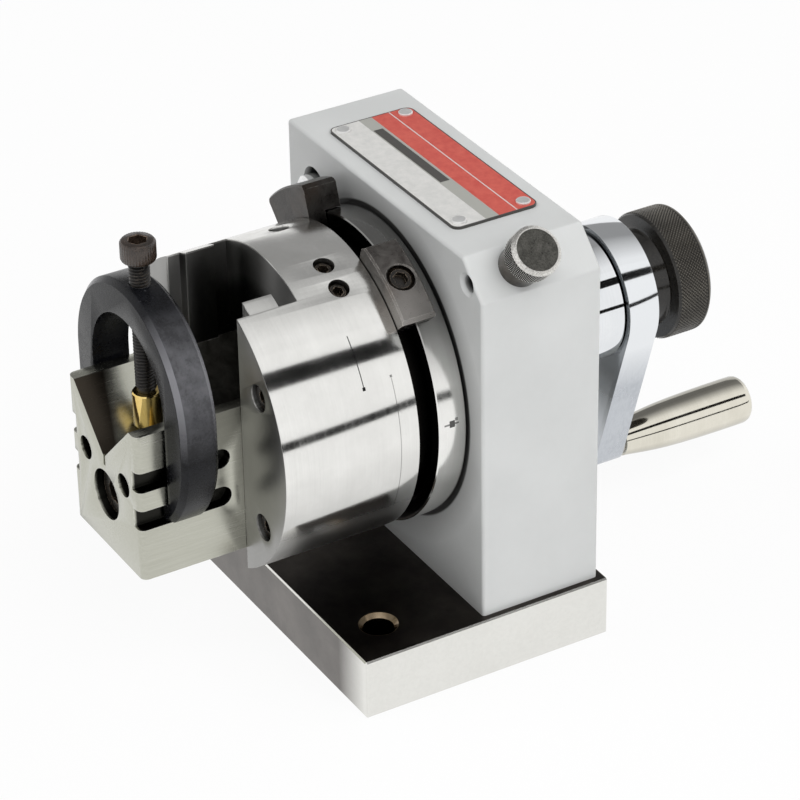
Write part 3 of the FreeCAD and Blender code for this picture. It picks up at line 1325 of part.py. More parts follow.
def make_handle_stud():
    shoulder_end = ARM_REAR_Y + STUD_SHOULDER_LENGTH
    end = shoulder_end + STUD_LENGTH
    rivet_front = ARM_FRONT_Y - STUD_RIVET_HEIGHT
    profile = [
        (0, rivet_front),
        (STUD_RIVET_RADIUS - STUD_RIVET_HEIGHT / 2, rivet_front),
        (STUD_RIVET_RADIUS, rivet_front + STUD_RIVET_HEIGHT / 2),
        (STUD_RIVET_RADIUS, ARM_FRONT_Y),
        (STUD_RADIUS, ARM_FRONT_Y),
        (STUD_RADIUS, ARM_REAR_Y),
        (STUD_SHOULDER_RADIUS, ARM_REAR_Y),
        (STUD_SHOULDER_RADIUS, shoulder_end),
        (STUD_RADIUS, shoulder_end),
        (STUD_RADIUS, end),
        (0, end),
    ]
    stud = turned(profile, ARM_END_X, ARM_END_Z)
    tapping = rod_y(STUD_END_RADIUS, end - STUD_TAPPING_DEPTH, end, ARM_END_X, ARM_END_Z)
    return stud.cut(tapping)


def make_handle_retainer():
    """Screw with a wide head on the end of the stud; it keeps the handle on."""
    stud_end = ARM_REAR_Y + STUD_SHOULDER_LENGTH + STUD_LENGTH
    seat = Vector(ARM_END_X, stud_end, ARM_END_Z)
    top = seat + ALONG_Y * RETAINER_THICKNESS
    head = rod(RETAINER_RADIUS, seat, top)
    thread = rod(STUD_END_RADIUS, seat - ALONG_Y * STUD_TAPPING_DEPTH, seat)
    floor = seat + ALONG_Y * RETAINER_THICKNESS * (1 - RETAINER_SOCKET_SHARE)
    return joined([head, thread]).cut(hexagon_bar(2 * STUD_END_RADIUS, floor, top))


def make_crank_handle():
    """Tapered grip that swells from its root to a full round end, bored for the stud."""
    rear = HANDLE_FRONT_Y + HANDLE_LENGTH
    waist = HANDLE_FRONT_Y + HANDLE_WAIST_Y
    stud_end = ARM_REAR_Y + STUD_SHOULDER_LENGTH + STUD_LENGTH
    seat = stud_end - RETAINER_GAP
    bore = STUD_RADIUS + RUNNING_CLEARANCE

    def at(radius, y):
        return Vector(ARM_END_X + radius, y, ARM_END_Z)

    flare = Part.BSplineCurve()
    flare.interpolate(
        [
            at(HANDLE_ROOT_RADIUS, HANDLE_FRONT_Y),
            at(HANDLE_WAIST_RADIUS, waist),
            at(HANDLE_RADIUS, rear - HANDLE_END_RADIUS - HANDLE_RECESS_DEPTH),
        ]
    )
    shoulder = at(HANDLE_RADIUS, rear - HANDLE_END_RADIUS)
    bend = math.sqrt(0.5) * HANDLE_END_RADIUS
    rounding = Part.Arc(
        shoulder,
        at(HANDLE_RADIUS - HANDLE_END_RADIUS + bend, rear - HANDLE_END_RADIUS + bend),
        at(HANDLE_RADIUS - HANDLE_END_RADIUS, rear),
    )
    straight = [
        Part.LineSegment(at(HANDLE_RADIUS, rear - HANDLE_END_RADIUS - HANDLE_RECESS_DEPTH), shoulder),
        Part.LineSegment(at(HANDLE_RADIUS - HANDLE_END_RADIUS, rear), at(HANDLE_RECESS_RADIUS, rear)),
        Part.LineSegment(at(HANDLE_RECESS_RADIUS, rear), at(HANDLE_RECESS_RADIUS, seat)),
        Part.LineSegment(at(HANDLE_RECESS_RADIUS, seat), at(bore, seat)),
        Part.LineSegment(at(bore, seat), at(bore, HANDLE_FRONT_Y)),
        Part.LineSegment(at(bore, HANDLE_FRONT_Y), at(HANDLE_ROOT_RADIUS, HANDLE_FRONT_Y)),
    ]
    edges = [flare.toShape(), straight[0].toShape(), rounding.toShape()]
    edges += [segment.toShape() for segment in straight[1:]]
    face = Part.Face(Part.Wire(edges))
    return face.revolve(Vector(ARM_END_X, 0, ARM_END_Z), ALONG_Y, 360)


def main():
    write(make_base_plate(), "base_plate")
    write(make_base_screws(), "base_screws")
    write(make_housing(), "housing")
    write(make_name_plate(), "name_plate")
    write(make_plate_rivets(), "plate_rivets")
    write(make_stop_pin(), "stop_pin")
    write(make_front_bearing_outer(), "front_bearing_outer")
    write(make_front_bearing_inner(), "front_bearing_inner")
    write(make_rear_bearing_outer(), "rear_bearing_outer")
    write(make_rear_bearing_inner(), "rear_bearing_inner")
    write(make_rear_sleeve(), "rear_sleeve")
    write(make_sleeve_screws(), "sleeve_screws")
    write(make_plunger_bush(), "plunger_bush")
    write(make_bush_set_screw(), "bush_set_screw")
    write(make_plunger_pin(), "plunger_pin")
    write(make_plunger_knob(), "plunger_knob")
    write(make_plunger_spring(), "plunger_spring")
    write(make_spindle(), "spindle")
    write(index_key_solid(), "index_key")
    write(crank_key_solid(), "crank_key")
    write(make_index_plate(), "index_plate")
    write(make_preload_nut(), "preload_nut")
    write(make_stop_ring(), "stop_ring")
    write(make_ring_screws(), "ring_screws")
    write(make_chuck_body(), "chuck_body")
    write(make_chuck_screws(), "chuck_screws")
    write(make_chuck_set_screws(), "chuck_set_screws")
    write(make_stop_dog(RIGHT_DOG_TOP_RADIUS, RIGHT_DOG_ANGLE, RIGHT_DOG_SPAN_ANGLE), "right_stop_dog")
    write(make_dog_screw(RIGHT_DOG_TOP_RADIUS, RIGHT_DOG_ANGLE), "right_dog_screw")
    write(make_stop_dog(LEFT_DOG_TOP_RADIUS, LEFT_DOG_ANGLE, LEFT_DOG_SPAN_ANGLE), "left_stop_dog")
    write(make_dog_screw(LEFT_DOG_TOP_RADIUS, LEFT_DOG_ANGLE), "left_dog_screw")
    write(make_v_block(), "v_block")
    write(make_carriage(), "carriage")
    write(make_v_block_screw(), "v_block_screw")
    write(make_v_block_dowels(), "v_block_dowels")
    write(make_carriage_lock_screws(), "carriage_lock_screws")
    write(make_clamp_yoke(), "clamp_yoke")
    write(make_clamp_screw(), "clamp_screw")
    write(make_brass_tip(), "brass_tip")
    write(make_crank_arm(), "crank_arm")
    write(make_lock_washer(), "lock_washer")
    write(make_knurled_nut(), "knurled_nut")
    write(make_handle_stud(), "handle_stud")
    write(make_handle_retainer(), "handle_retainer")
    write(make_crank_handle(), "crank_handle")


main()
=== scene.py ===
import math

import bmesh
import bpy
from mathutils import Matrix, Vector


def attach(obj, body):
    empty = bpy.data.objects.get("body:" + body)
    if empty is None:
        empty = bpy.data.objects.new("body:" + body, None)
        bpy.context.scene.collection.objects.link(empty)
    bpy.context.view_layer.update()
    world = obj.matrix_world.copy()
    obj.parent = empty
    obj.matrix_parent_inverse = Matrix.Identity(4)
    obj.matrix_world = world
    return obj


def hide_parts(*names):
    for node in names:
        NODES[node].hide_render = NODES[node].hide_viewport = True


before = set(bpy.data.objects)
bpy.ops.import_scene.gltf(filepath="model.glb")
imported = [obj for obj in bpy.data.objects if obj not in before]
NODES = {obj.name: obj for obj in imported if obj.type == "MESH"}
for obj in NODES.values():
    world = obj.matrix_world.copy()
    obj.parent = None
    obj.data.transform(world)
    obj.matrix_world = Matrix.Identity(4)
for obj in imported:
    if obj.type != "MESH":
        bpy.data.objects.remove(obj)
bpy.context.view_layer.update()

MM = 0.001

# The part's own sizes in millimetres, as in its source
SPINDLE_Z = 77.0
CHUCK_RADIUS = 45.0
CHUCK_FRONT_Y = -57.3
CHUCK_REAR_Y = -15.5
SLOT_HALF_WIDTH = 20.5
SLOT_LIP_HALF_WIDTH = 16.3
SLOT_LIP_FRONT_Y = -53.3
SLOT_HEAD_FRONT_Y = -44.5
SLOT_FLOOR_Y = -38.7
CHUCK_SCREW_X = 31.0
CHUCK_SCREW_RISE = 20.7
CHUCK_SET_SCREW_ANGLES = (-17.0, 15.7, 27.0)
CHUCK_SET_SCREW_Y = -25.8
BLOCK_HALF_WIDTH = 20.4
BLOCK_FRONT_Y = -89.5
BLOCK_REAR_Y = -53.4
BLOCK_BOTTOM_Z = 43.9
BLOCK_TOP_Z = 89.8
V_APEX_Z = 73.3
GROOVE_HEIGHT = 6.2
GROOVE_DEPTH = 3.5
GROOVE_LENGTH = 28.3
GROOVE_HEIGHTS = (63.0, 75.1)
YOKE_Y = -75.45
YOKE_WIDTH = 11.3
YOKE_RADIUS = 32.0
YOKE_UPPER_Z = 92.0
YOKE_LOWER_Z = 84.0
YOKE_INNER_RADIUS = 21.5
YOKE_INNER_Z = 92.7
YOKE_LIP_X = 18.3
YOKE_LIP_LOW_Z = 60.2
YOKE_LIP_HIGH_Z = 65.8
NUT_FRONT_Y = 80.75
NUT_REAR_Y = 99.55
NUT_RADIUS = 19.4
PLUNGER_Y = 14.3
KNOB_RADIUS = 7.25
KNOB_HEIGHT = 7.0
KNOB_EDGE_BREAK = 0.9
KNURL_FINE = 0.36
KNURL_COARSE = 0.42
NUT_NECK_LENGTH = 7.0
BUSH_STAND_OUT = 6.3
CORNER_FACE_DISTANCE = 68.06
ARM_END = (-1.7, 21.9)
KNOB_TOP = CORNER_FACE_DISTANCE + BUSH_STAND_OUT + KNOB_HEIGHT
RING_RADIUS = 45.6
BLOCK_CORNER_RADIUS = 2.0
BASE_THICKNESS = 19.0
BASE_FRONT_Y = -40.0
BASE_BOLT_X = 40.7
BASE_BOLT_Y = -27.3
BASE_BOLT_RADIUS = 4.5
BASE_BOLT_SINK = 1.2
HOUSING_HALF_WIDTH = 53.25
HOUSING_FRONT_Y = -0.5
HOUSING_REAR_Y = 37.7
HOUSING_TOP_Z = 130.0
SLEEVE_END_Y = 69.2
ARM_FRONT_Y = 69.5
ARM_REAR_Y = 79.5
ARM_HUB_RADIUS = 20.8
ARM_TIP_RADIUS = 5.4
HANDLE_FRONT_Y = 81.0
HANDLE_LENGTH = 45.0
STOP_PIN_X = -38.2
STOP_PIN_Z = 114.5
CLAMP_HEAD_Z = 131.2
CLAMP_HEAD_RADIUS = 5.0
YOKE_CHAMFER = 1.6
PLATE_LENGTH = 70.0
PLATE_WIDTH = 27.2
PLATE_CENTRE_X = -5.0
PLATE_CENTRE_Y = 18.9
PLATE_CORNER_RADIUS = 2.5

# Edges that turn by more than this, in degrees, stay sharp
SHARP_ANGLE = 35.0

def clear_selection():
    """Object mode with nothing selected."""
    if bpy.context.mode != "OBJECT":
        bpy.ops.object.mode_set(mode="OBJECT")
    bpy.ops.object.select_all(action="DESELECT")


def pick(piece):
    """Make one piece the only selected and active one."""
    clear_selection()
    piece.select_set(True)
    bpy.context.view_layer.objects.active = piece


def settle(name):
    """Name the new primitive and move its place into its mesh."""
    piece = bpy.context.active_object
    piece.name = name
    piece.data.name = name
    bpy.ops.object.transform_apply(location=True, rotation=True, scale=True)
    return piece


def bar(radius, start, end, sides=64):
    """Round bar between two points given in millimetres."""
    low, high = Vector(start) * MM, Vector(end) * MM
    run = high - low
    clear_selection()
    bpy.ops.mesh.primitive_cylinder_add(
        vertices=sides,
        radius=radius * MM,
        depth=run.length,
        location=(low + high) / 2,
        rotation=run.to_track_quat("Z", "Y").to_euler(),
    )
    return settle("bar")


def brick(x0, x1, y0, y1, z0, z1):
    """Square block between two corners given in millimetres."""
    clear_selection()
    bpy.ops.mesh.primitive_cube_add(
        size=1.0,
        location=((x0 + x1) / 2 * MM, (y0 + y1) / 2 * MM, (z0 + z1) / 2 * MM),
        scale=((x1 - x0) * MM, (y1 - y0) * MM, (z1 - z0) * MM),
    )
    return settle("brick")


def finish_modifier(piece, modifier):
    """Apply a modifier to its piece."""
    pick(piece)
    bpy.ops.object.modifier_apply(modifier=modifier.name)


def cut(piece, cutters):
    """Take the cutters out of the piece."""
    for cutter in cutters:
        modifier = piece.modifiers.new("cut", "BOOLEAN")
        modifier.operation = "DIFFERENCE"
        modifier.solver = "EXACT"
        modifier.object = cutter
        finish_modifier(piece, modifier)
        bpy.data.objects.remove(cutter)


def soften(piece, width, segments=2):
    """Round the sharp edges a little and shade the piece smooth."""
    if width:
        modifier = piece.modifiers.new("edges", "BEVEL")
        modifier.width = width * MM
        modifier.segments = segments
        modifier.limit_method = "ANGLE"
        modifier.angle_limit = math.radians(SHARP_ANGLE)
        modifier.miter_outer = "MITER_ARC"
        modifier.harden_normals = False
        finish_modifier(piece, modifier)
    pick(piece)
    bpy.ops.object.shade_smooth_by_angle(angle=math.radians(SHARP_ANGLE))


def trace(name, points):
    """Draw a chain of edges from one vertex through points given in metres."""
    clear_selection()
    bpy.ops.mesh.primitive_plane_add(size=MM, location=(0, 0, 0))
    piece = bpy.context.active_object
    piece.name = name
    piece.data.name = name
    bpy.ops.object.mode_set(mode="EDIT")
    bpy.ops.mesh.select_mode(type="VERT")
    bpy.ops.mesh.select_all(action="SELECT")
    bpy.ops.mesh.merge(type="CENTER")
    bpy.ops.transform.translate(value=points[0])
    for before, after in zip(points, points[1:]):
        bpy.ops.mesh.extrude_vertices_move(TRANSFORM_OT_translate={"value": after - before})
    return piece


def close_chain(piece):
    """Join the last vertex of a traced chain to the first."""
    mesh = bmesh.from_edit_mesh(piece.data)
    for vertex in mesh.verts:
        vertex.select_set(len(vertex.link_edges) == 1)
    mesh.select_flush_mode()
    bmesh.update_edit_mesh(piece.data)
    bpy.ops.mesh.edge_face_add()
    bpy.ops.mesh.select_all(action="SELECT")


def turned(name, profile, axis=(0.0, 1.0, 0.0), centre=(0.0, 0.0, SPINDLE_Z), steps=128, hollow=False):
    """Lathe piece from (radius, distance along the axis) corners, in millimetres."""
    along = Vector(axis).normalized()
    out = along.orthogonal().normalized()
    base = Vector(centre)
    points = [(base + out * radius + along * place) * MM for radius, place in profile]
    piece = trace(name, points)
    if hollow:
        close_chain(piece)
    bpy.ops.mesh.select_all(action="SELECT")
    bpy.ops.mesh.spin(steps=steps, angle=2 * math.pi, center=base * MM, axis=along)
    bpy.ops.mesh.select_all(action="SELECT")
    bpy.ops.mesh.remove_doubles(threshold=0.002 * MM)
    bpy.ops.mesh.normals_make_consistent(inside=False)
    bpy.ops.object.mode_set(mode="OBJECT")
    return piece


def slab(name, outline, y0, y1):
    """Piece of one section along Y from (x, z) corners, in millimetres."""
    piece = trace(name, [Vector((x, y0, z)) * MM for x, z in outline])
    close_chain(piece)
    bpy.ops.mesh.edge_face_add()
    bpy.ops.mesh.extrude_region_move(TRANSFORM_OT_translate={"value": (0, (y1 - y0) * MM, 0)})
    bpy.ops.mesh.select_all(action="SELECT")
    bpy.ops.mesh.normals_make_consistent(inside=False)
    bpy.ops.object.mode_set(mode="OBJECT")
    return piece


def arc(x, z, radius, start, end, steps):
    """Points of an arc in the XZ plane; angles run from the top towards +X, in degrees."""
    points = []
    for i in range(steps + 1):
        angle = math.radians(start + (end - start) * i / steps)
        points.append((x + radius * math.sin(angle), z + radius * math.cos(angle)))
    return points


def select_faces(piece, test):
    """In edit mode, select the faces whose centre and normal pass a test."""
    mesh = bmesh.from_edit_mesh(piece.data)
    for face in mesh.faces:
        face.select_set(bool(test(face.calc_center_median(), face.normal)))
    bmesh.update_edit_mesh(piece.data)


def knurl(piece, on_band, height):
    """Raise a diamond knurl on the band of faces that pass the test."""
    pick(piece)
    bpy.ops.object.mode_set(mode="EDIT")
    bpy.ops.mesh.select_mode(type="FACE")
    select_faces(piece, on_band)
    mesh = bmesh.from_edit_mesh(piece.data)
    for edge in mesh.edges:
        edge.seam = len(edge.link_faces) == 2 and all(face.select for face in edge.link_faces)
    bmesh.update_edit_mesh(piece.data)
    bpy.ops.mesh.poke()
    bpy.ops.mesh.select_mode(type="EDGE")
    bpy.ops.mesh.select_all(action="DESELECT")
    mesh = bmesh.from_edit_mesh(piece.data)
    for edge in mesh.edges:
        edge.select_set(edge.seam)
    bmesh.update_edit_mesh(piece.data)
    bpy.ops.mesh.dissolve_edges(use_verts=False, use_face_split=False)
    bpy.ops.mesh.select_mode(type="FACE")
    mesh = bmesh.from_edit_mesh(piece.data)
    for face in mesh.faces:
        face.select_set(bool(len(face.verts) == 4 and on_band(face.calc_center_median(), face.normal)))
    bmesh.update_edit_mesh(piece.data)
    bpy.ops.mesh.poke(offset=height * MM)
    bpy.ops.object.mode_set(mode="OBJECT")


def radial(radius, y, angle):
    """Point about the spindle axis in millimetres; the angle runs from the top towards +X."""
    turn = math.radians(angle)
    return (radius * math.sin(turn), y, SPINDLE_Z + radius * math.cos(turn))


# Materials

# Colour sockets of the Mix node, which shares their names with its other kinds
MIX_FACTOR, MIX_FIRST, MIX_SECOND, MIX_RESULT = 0, 6, 7, 2
# Brown for the painted dark reflection on the seat block's V face.
PAINTED_REFLECTION_BROWN = (0.018, 0.010, 0.005, 1)
# Near black for painted shade in holes, recesses, gaps and undersides.
PAINTED_SHADE_BLACK = (0.006, 0.0055, 0.005, 1)


class Finish:
    """A node material that is built up from plain calls."""

    def __init__(self, name):
        self.material = bpy.data.materials.new(name)
        self.material.use_nodes = True
        self.tree = self.material.node_tree
        self.shader = self.tree.nodes["Principled BSDF"]
        self.place = self.add("ShaderNodeTexCoord").outputs["Object"]

    def add(self, kind, sockets=None, **settings):
        node = self.tree.nodes.new(kind)
        for key, value in settings.items():
            setattr(node, key, value)
        for key, value in (sockets or {}).items():
            self.feed(node.inputs[key], value)
        return node

    def feed(self, socket, value):
        if isinstance(value, bpy.types.NodeSocket):
            self.tree.links.new(value, socket)
        else:
            socket.default_value = value

    def math(self, operation, first, second=0.0, third=0.0):
        node = self.add("ShaderNodeMath", operation=operation)
        for socket, value in zip(node.inputs, (first, second, third)):
            self.feed(socket, value)
        return node.outputs[0]

    def chain(self, operation, first, *others):
        """Run one operation through several values, such as the least of them."""
        for other in others:
            first = self.math(operation, first, other)
        return first

    def length(self, first, second):
        """Length of a flat step with two sides."""
        squares = self.math("MULTIPLY", first, first), self.math("MULTIPLY", second, second)
        return self.math("SQRT", self.math("ADD", *squares))

    def noise(self, scale, detail=3.0, roughness=0.5, vector=None, distortion=0.0):
        sockets = {
            "Vector": vector or self.place,
            "Scale": scale,
            "Detail": detail,
            "Roughness": roughness,
            "Distortion": distortion,
        }
        return self.add("ShaderNodeTexNoise", sockets).outputs["Fac"]

    def stretched(self, x, y, z):
        """Object coordinates stretched along each axis."""
        return self.add("ShaderNodeMapping", {"Vector": self.place, "Scale": (x, y, z)}).outputs["Vector"]

    def ranged(self, value, low, high, to_low=0.0, to_high=1.0):
        sockets = {"Value": value, "From Min": low, "From Max": high, "To Min": to_low, "To Max": to_high}
        return self.add("ShaderNodeMapRange", sockets).outputs["Result"]

    def blend(self, factor, first, second):
        node = self.add("ShaderNodeMix", data_type="RGBA")
        for place, value in ((MIX_FACTOR, factor), (MIX_FIRST, first), (MIX_SECOND, second)):
            self.feed(node.inputs[place], value)
        return node.outputs[MIX_RESULT]

    def bump(self, height, strength, distance, before=None):
        sockets = {"Height": height, "Strength": strength, "Distance": distance}
        if before:
            sockets["Normal"] = before
        return self.add("ShaderNodeBump", sockets).outputs["Normal"]

    def worn_edges(self, radius, reach=0.35):
        """Mask that is 1 on sharp edges, broken up by fine noise."""
        soft = self.add("ShaderNodeBevel", {"Radius": radius * MM}, samples=6).outputs["Normal"]
        hard = self.add("ShaderNodeNewGeometry").outputs["Normal"]
        facing = self.add("ShaderNodeVectorMath", {0: soft, 1: hard}, operation="DOT_PRODUCT")
        edge = self.ranged(facing.outputs["Value"], 0.995, 0.86)
        broken = self.ranged(self.noise(900.0, 4.0), reach, reach + 0.25)
        return self.math("MULTIPLY", edge, broken)

    def split(self):
        """The three object coordinates."""
        sides = self.add("ShaderNodeSeparateXYZ", {"Vector": self.place}).outputs
        return sides["X"], sides["Y"], sides["Z"]

    def round_place(self, x=0.0, z=SPINDLE_Z * MM):
        """Radius from an axis along Y, place along Y, and angle from the top towards +X."""
        side_x, side_y, side_z = self.split()
        across = self.math("SUBTRACT", side_x, x)
        up = self.math("SUBTRACT", side_z, z)
        return self.length(across, up), side_y, self.math("ARCTAN2", across, up)

    def below(self, *limits):
        """Depth under the nearest of several surfaces, each (surface place, point place)."""
        depths = [self.math("SUBTRACT", surface, point) for surface, point in limits]
        return self.chain("MINIMUM", *depths)

    def lathe_lines(self, scale=2600.0, x=0.0, z=SPINDLE_Z * MM):
        """Fine marks that run round an axis along Y."""
        radius, along, angle = self.round_place(x, z)
        sweep = self.math("MULTIPLY", angle, 0.0004)
        spot = self.add("ShaderNodeCombineXYZ", {"X": radius, "Y": along, "Z": sweep}).outputs["Vector"]
        return self.noise(scale, 3.0, 0.65, spot)

    def set(self, **values):
        names = {
            "color": "Base Color",
            "metal": "Metallic",
            "rough": "Roughness",
            "normal": "Normal",
            "coat": "Coat Weight",
            "coat_rough": "Coat Roughness",
            "gloss": "Specular IOR Level",
        }
        for key, value in values.items():
            self.feed(self.shader.inputs[names[key]], value)
        return self.material


def housing_depth(f):
    """Depth of a point behind the outer faces of the housing block."""
    x, y, z = f.split()
    aslant = f.math("MULTIPLY", f.math("SUBTRACT", f.math("ADD", x, z), SPINDLE_Z * MM), math.sqrt(0.5))
    return f.below(
        (HOUSING_HALF_WIDTH * MM, f.math("ABSOLUTE", x)),
        (HOUSING_TOP_Z * MM, z),
        (-HOUSING_FRONT_Y * MM, f.math("MULTIPLY", y, -1.0)),
        (HOUSING_REAR_Y * MM, y),
        (CORNER_FACE_DISTANCE * MM, aslant),
    )


def paint_finish():
    """Satin light grey enamel with a faint orange peel and rubbed edges, painted shade in its holes and painted
    shadow on its front face round the ring.
    """
    f = Finish("housing_enamel")
    cloud = f.noise(35.0, 4.0, 0.55)
    speck = f.noise(1500.0, 2.0)
    body = f.blend(f.ranged(cloud, 0.35, 0.65), (0.59, 0.60, 0.595, 1), (0.63, 0.64, 0.635, 1))
    worn = f.worn_edges(0.6, 0.5)
    color = f.blend(f.math("MULTIPLY", worn, 0.5), body, (0.70, 0.70, 0.69, 1))
    radius, along, _ = f.round_place()
    front = f.math("LESS_THAN", along, (HOUSING_FRONT_Y + 0.05) * MM)
    # Painted shade on the front face round the ring, darkest next to it.
    ring_painted_shade = f.ranged(radius, (RING_RADIUS + 9.0) * MM, RING_RADIUS * MM, 0.0, 0.6)
    color = f.blend(f.math("MULTIPLY", front, ring_painted_shade), color, (0.10, 0.10, 0.10, 1))
    # Painted shadow in the gap right beside the ring.
    ring_gap_painted_shadow = f.ranged(radius, (RING_RADIUS + 1.5) * MM, (RING_RADIUS + 0.9) * MM, 0.0, 0.96)
    color = f.blend(f.math("MULTIPLY", front, ring_gap_painted_shadow), color, PAINTED_SHADE_BLACK)
    # Painted shade in the holes, growing from 0.5 to 2.5 mm behind the outer faces.
    color = f.blend(f.ranged(housing_depth(f), 0.5 * MM, 2.5 * MM), color, (0.03, 0.03, 0.03, 1))
    rough = f.ranged(f.noise(220.0, 3.0), 0.3, 0.7, 0.36, 0.48)
    normal = f.bump(speck, 0.10, 0.0001, f.bump(f.noise(420.0, 2.0), 0.08, 0.0002))
    return f.set(color=color, rough=rough, normal=normal, metal=0.0, gloss=0.5)


def ground_finish(name, dark, light, lines, rough=(0.20, 0.34), shade=None, painted_reflection=None, worn=0.6):
    """Surface-ground steel: fine parallel marks, soft stains and brighter edges, with painted shade in recesses
    and an optional painted dark reflection.
    """
    f = Finish(name)
    marks = f.noise(1.0, 4.0, 0.7, f.stretched(*lines))
    cloud = f.noise(60.0, 5.0, 0.6)
    tone = f.math("ADD", f.math("MULTIPLY", marks, 0.75), f.math("MULTIPLY", cloud, 0.25))
    color = f.blend(f.ranged(tone, 0.35, 0.65), dark, light)
    color = f.blend(f.math("MULTIPLY", f.worn_edges(0.4, 0.35), worn), color, (0.88, 0.87, 0.85, 1))
    # Optional painted dark reflection from the given mask.
    if painted_reflection:
        color = f.blend(painted_reflection(f), color, PAINTED_REFLECTION_BROWN)
    # Optional painted shade in recesses.
    if shade:
        color = f.blend(shade(f), color, PAINTED_SHADE_BLACK)
    roughness = f.ranged(f.math("ADD", marks, cloud), 0.7, 1.3, rough[0], rough[1])
    normal = f.bump(marks, 0.05, 0.0001)
    return f.set(color=color, metal=1.0, rough=roughness, normal=normal)


def base_finish():
    """Ground steel plate: light sides, painted dark reflection on its near-black top and darkened front, and
    rusty bolt holes with painted shade deeper down.
    """
    f = Finish("base_ground_steel")
    x, y, z = f.split()
    marks = f.noise(1.0, 4.0, 0.7, f.stretched(25, 900, 900))
    cloud = f.noise(45.0, 5.0, 0.6)
    tone = f.ranged(f.math("ADD", marks, cloud), 0.8, 1.2)
    side = f.blend(tone, (0.75, 0.745, 0.71, 1), (0.79, 0.785, 0.75, 1))
    side = f.blend(f.math("MULTIPLY", f.worn_edges(0.4, 0.3), 0.6), side, (0.88, 0.87, 0.84, 1))
    # Noise for the patches of painted dark reflection on the front and top, and for the rust.
    painted_reflection = f.noise(70.0, 5.0, 0.65)
    painted_dark_front = f.blend(f.ranged(painted_reflection, 0.35, 0.7), (0.115, 0.107, 0.10, 1), (0.165, 0.152, 0.142, 1))
    # Front face: painted dark reflection, fading out towards the +X corner.
    front = f.math("LESS_THAN", y, (BASE_FRONT_Y + 0.05) * MM)
    fade = f.ranged(x, 54.0 * MM, 40.0 * MM)
    side = f.blend(f.chain("MULTIPLY", front, fade), side, painted_dark_front)
    # Near-black top: painted dark reflection.
    top = f.blend(f.ranged(painted_reflection, 0.35, 0.7), (0.030, 0.025, 0.022, 1), (0.070, 0.060, 0.053, 1))
    color = f.blend(f.math("GREATER_THAN", z, (BASE_THICKNESS - 0.05) * MM), side, top)
    across = f.math("SUBTRACT", f.math("ABSOLUTE", x), BASE_BOLT_X * MM)
    reach = f.length(across, f.math("SUBTRACT", y, BASE_BOLT_Y * MM))
    inside = f.math("LESS_THAN", reach, (BASE_BOLT_RADIUS + BASE_BOLT_SINK + 0.1) * MM)
    rust = f.blend(f.ranged(painted_reflection, 0.4, 0.6), (0.13, 0.09, 0.05, 1), (0.36, 0.28, 0.19, 1))
    # Rust in the bolt holes turns to painted shade deeper down.
    depth = f.ranged(z, (BASE_THICKNESS - BASE_BOLT_SINK) * MM, (BASE_THICKNESS - 5.0) * MM)
    color = f.blend(inside, color, f.blend(depth, rust, PAINTED_SHADE_BLACK))
    on_top = f.ranged(z, (BASE_THICKNESS - 0.1) * MM, (BASE_THICKNESS - 0.05) * MM, 0.0, 0.16)
    roughness = f.math("ADD", f.ranged(cloud, 0.3, 0.7, 0.12, 0.20), on_top)
    return f.set(color=color, metal=1.0, rough=roughness, normal=f.bump(marks, 0.03, 0.0001))


def block_shade(f):
    """Painted shade inside the seat block's grooves and holes, none on its outer and V faces."""
    x, y, z = f.split()
    side = f.math("ABSOLUTE", x)
    past_x = f.math("SUBTRACT", side, (BLOCK_HALF_WIDTH - BLOCK_CORNER_RADIUS) * MM)
    past_y = f.math("SUBTRACT", (BLOCK_FRONT_Y + BLOCK_CORNER_RADIUS) * MM, y)
    corner = f.length(f.math("MAXIMUM", past_x, 0.0), f.math("MAXIMUM", past_y, 0.0))
    flat = f.math("MINIMUM", f.math("MAXIMUM", past_x, past_y), 0.0)
    depth = f.below(
        (BLOCK_CORNER_RADIUS * MM, f.math("ADD", corner, flat)),
        (BLOCK_REAR_Y * MM, y),
        (BLOCK_TOP_Z * MM, z),
        (f.math("ADD", side, V_APEX_Z * MM), z),
        (z, BLOCK_BOTTOM_Z * MM),
    )
    return f.ranged(depth, 0.25 * MM, 0.9 * MM, 0.0, 0.97)


def block_painted_reflection(f):
    """Painted dark reflection in brown on the left V face, widest at its top front corner."""
    x, y, z = f.split()
    off_face = f.math("SUBTRACT", f.math("ADD", z, x), V_APEX_Z * MM)
    on_face = f.math("LESS_THAN", f.math("ABSOLUTE", off_face), 0.05 * MM)
    left = f.math("LESS_THAN", x, 0.0)
    reach = f.math("ADD", f.math("MULTIPLY", x, -0.30), (BLOCK_FRONT_Y + 4.5) * MM)
    ragged = f.math("MULTIPLY", f.noise(160.0, 3.0), 1.6 * MM)
    near = f.ranged(f.math("SUBTRACT", f.math("ADD", y, ragged), reach), 3.2 * MM, 0.0, 0.0, 0.94)
    return f.chain("MULTIPLY", on_face, left, near)


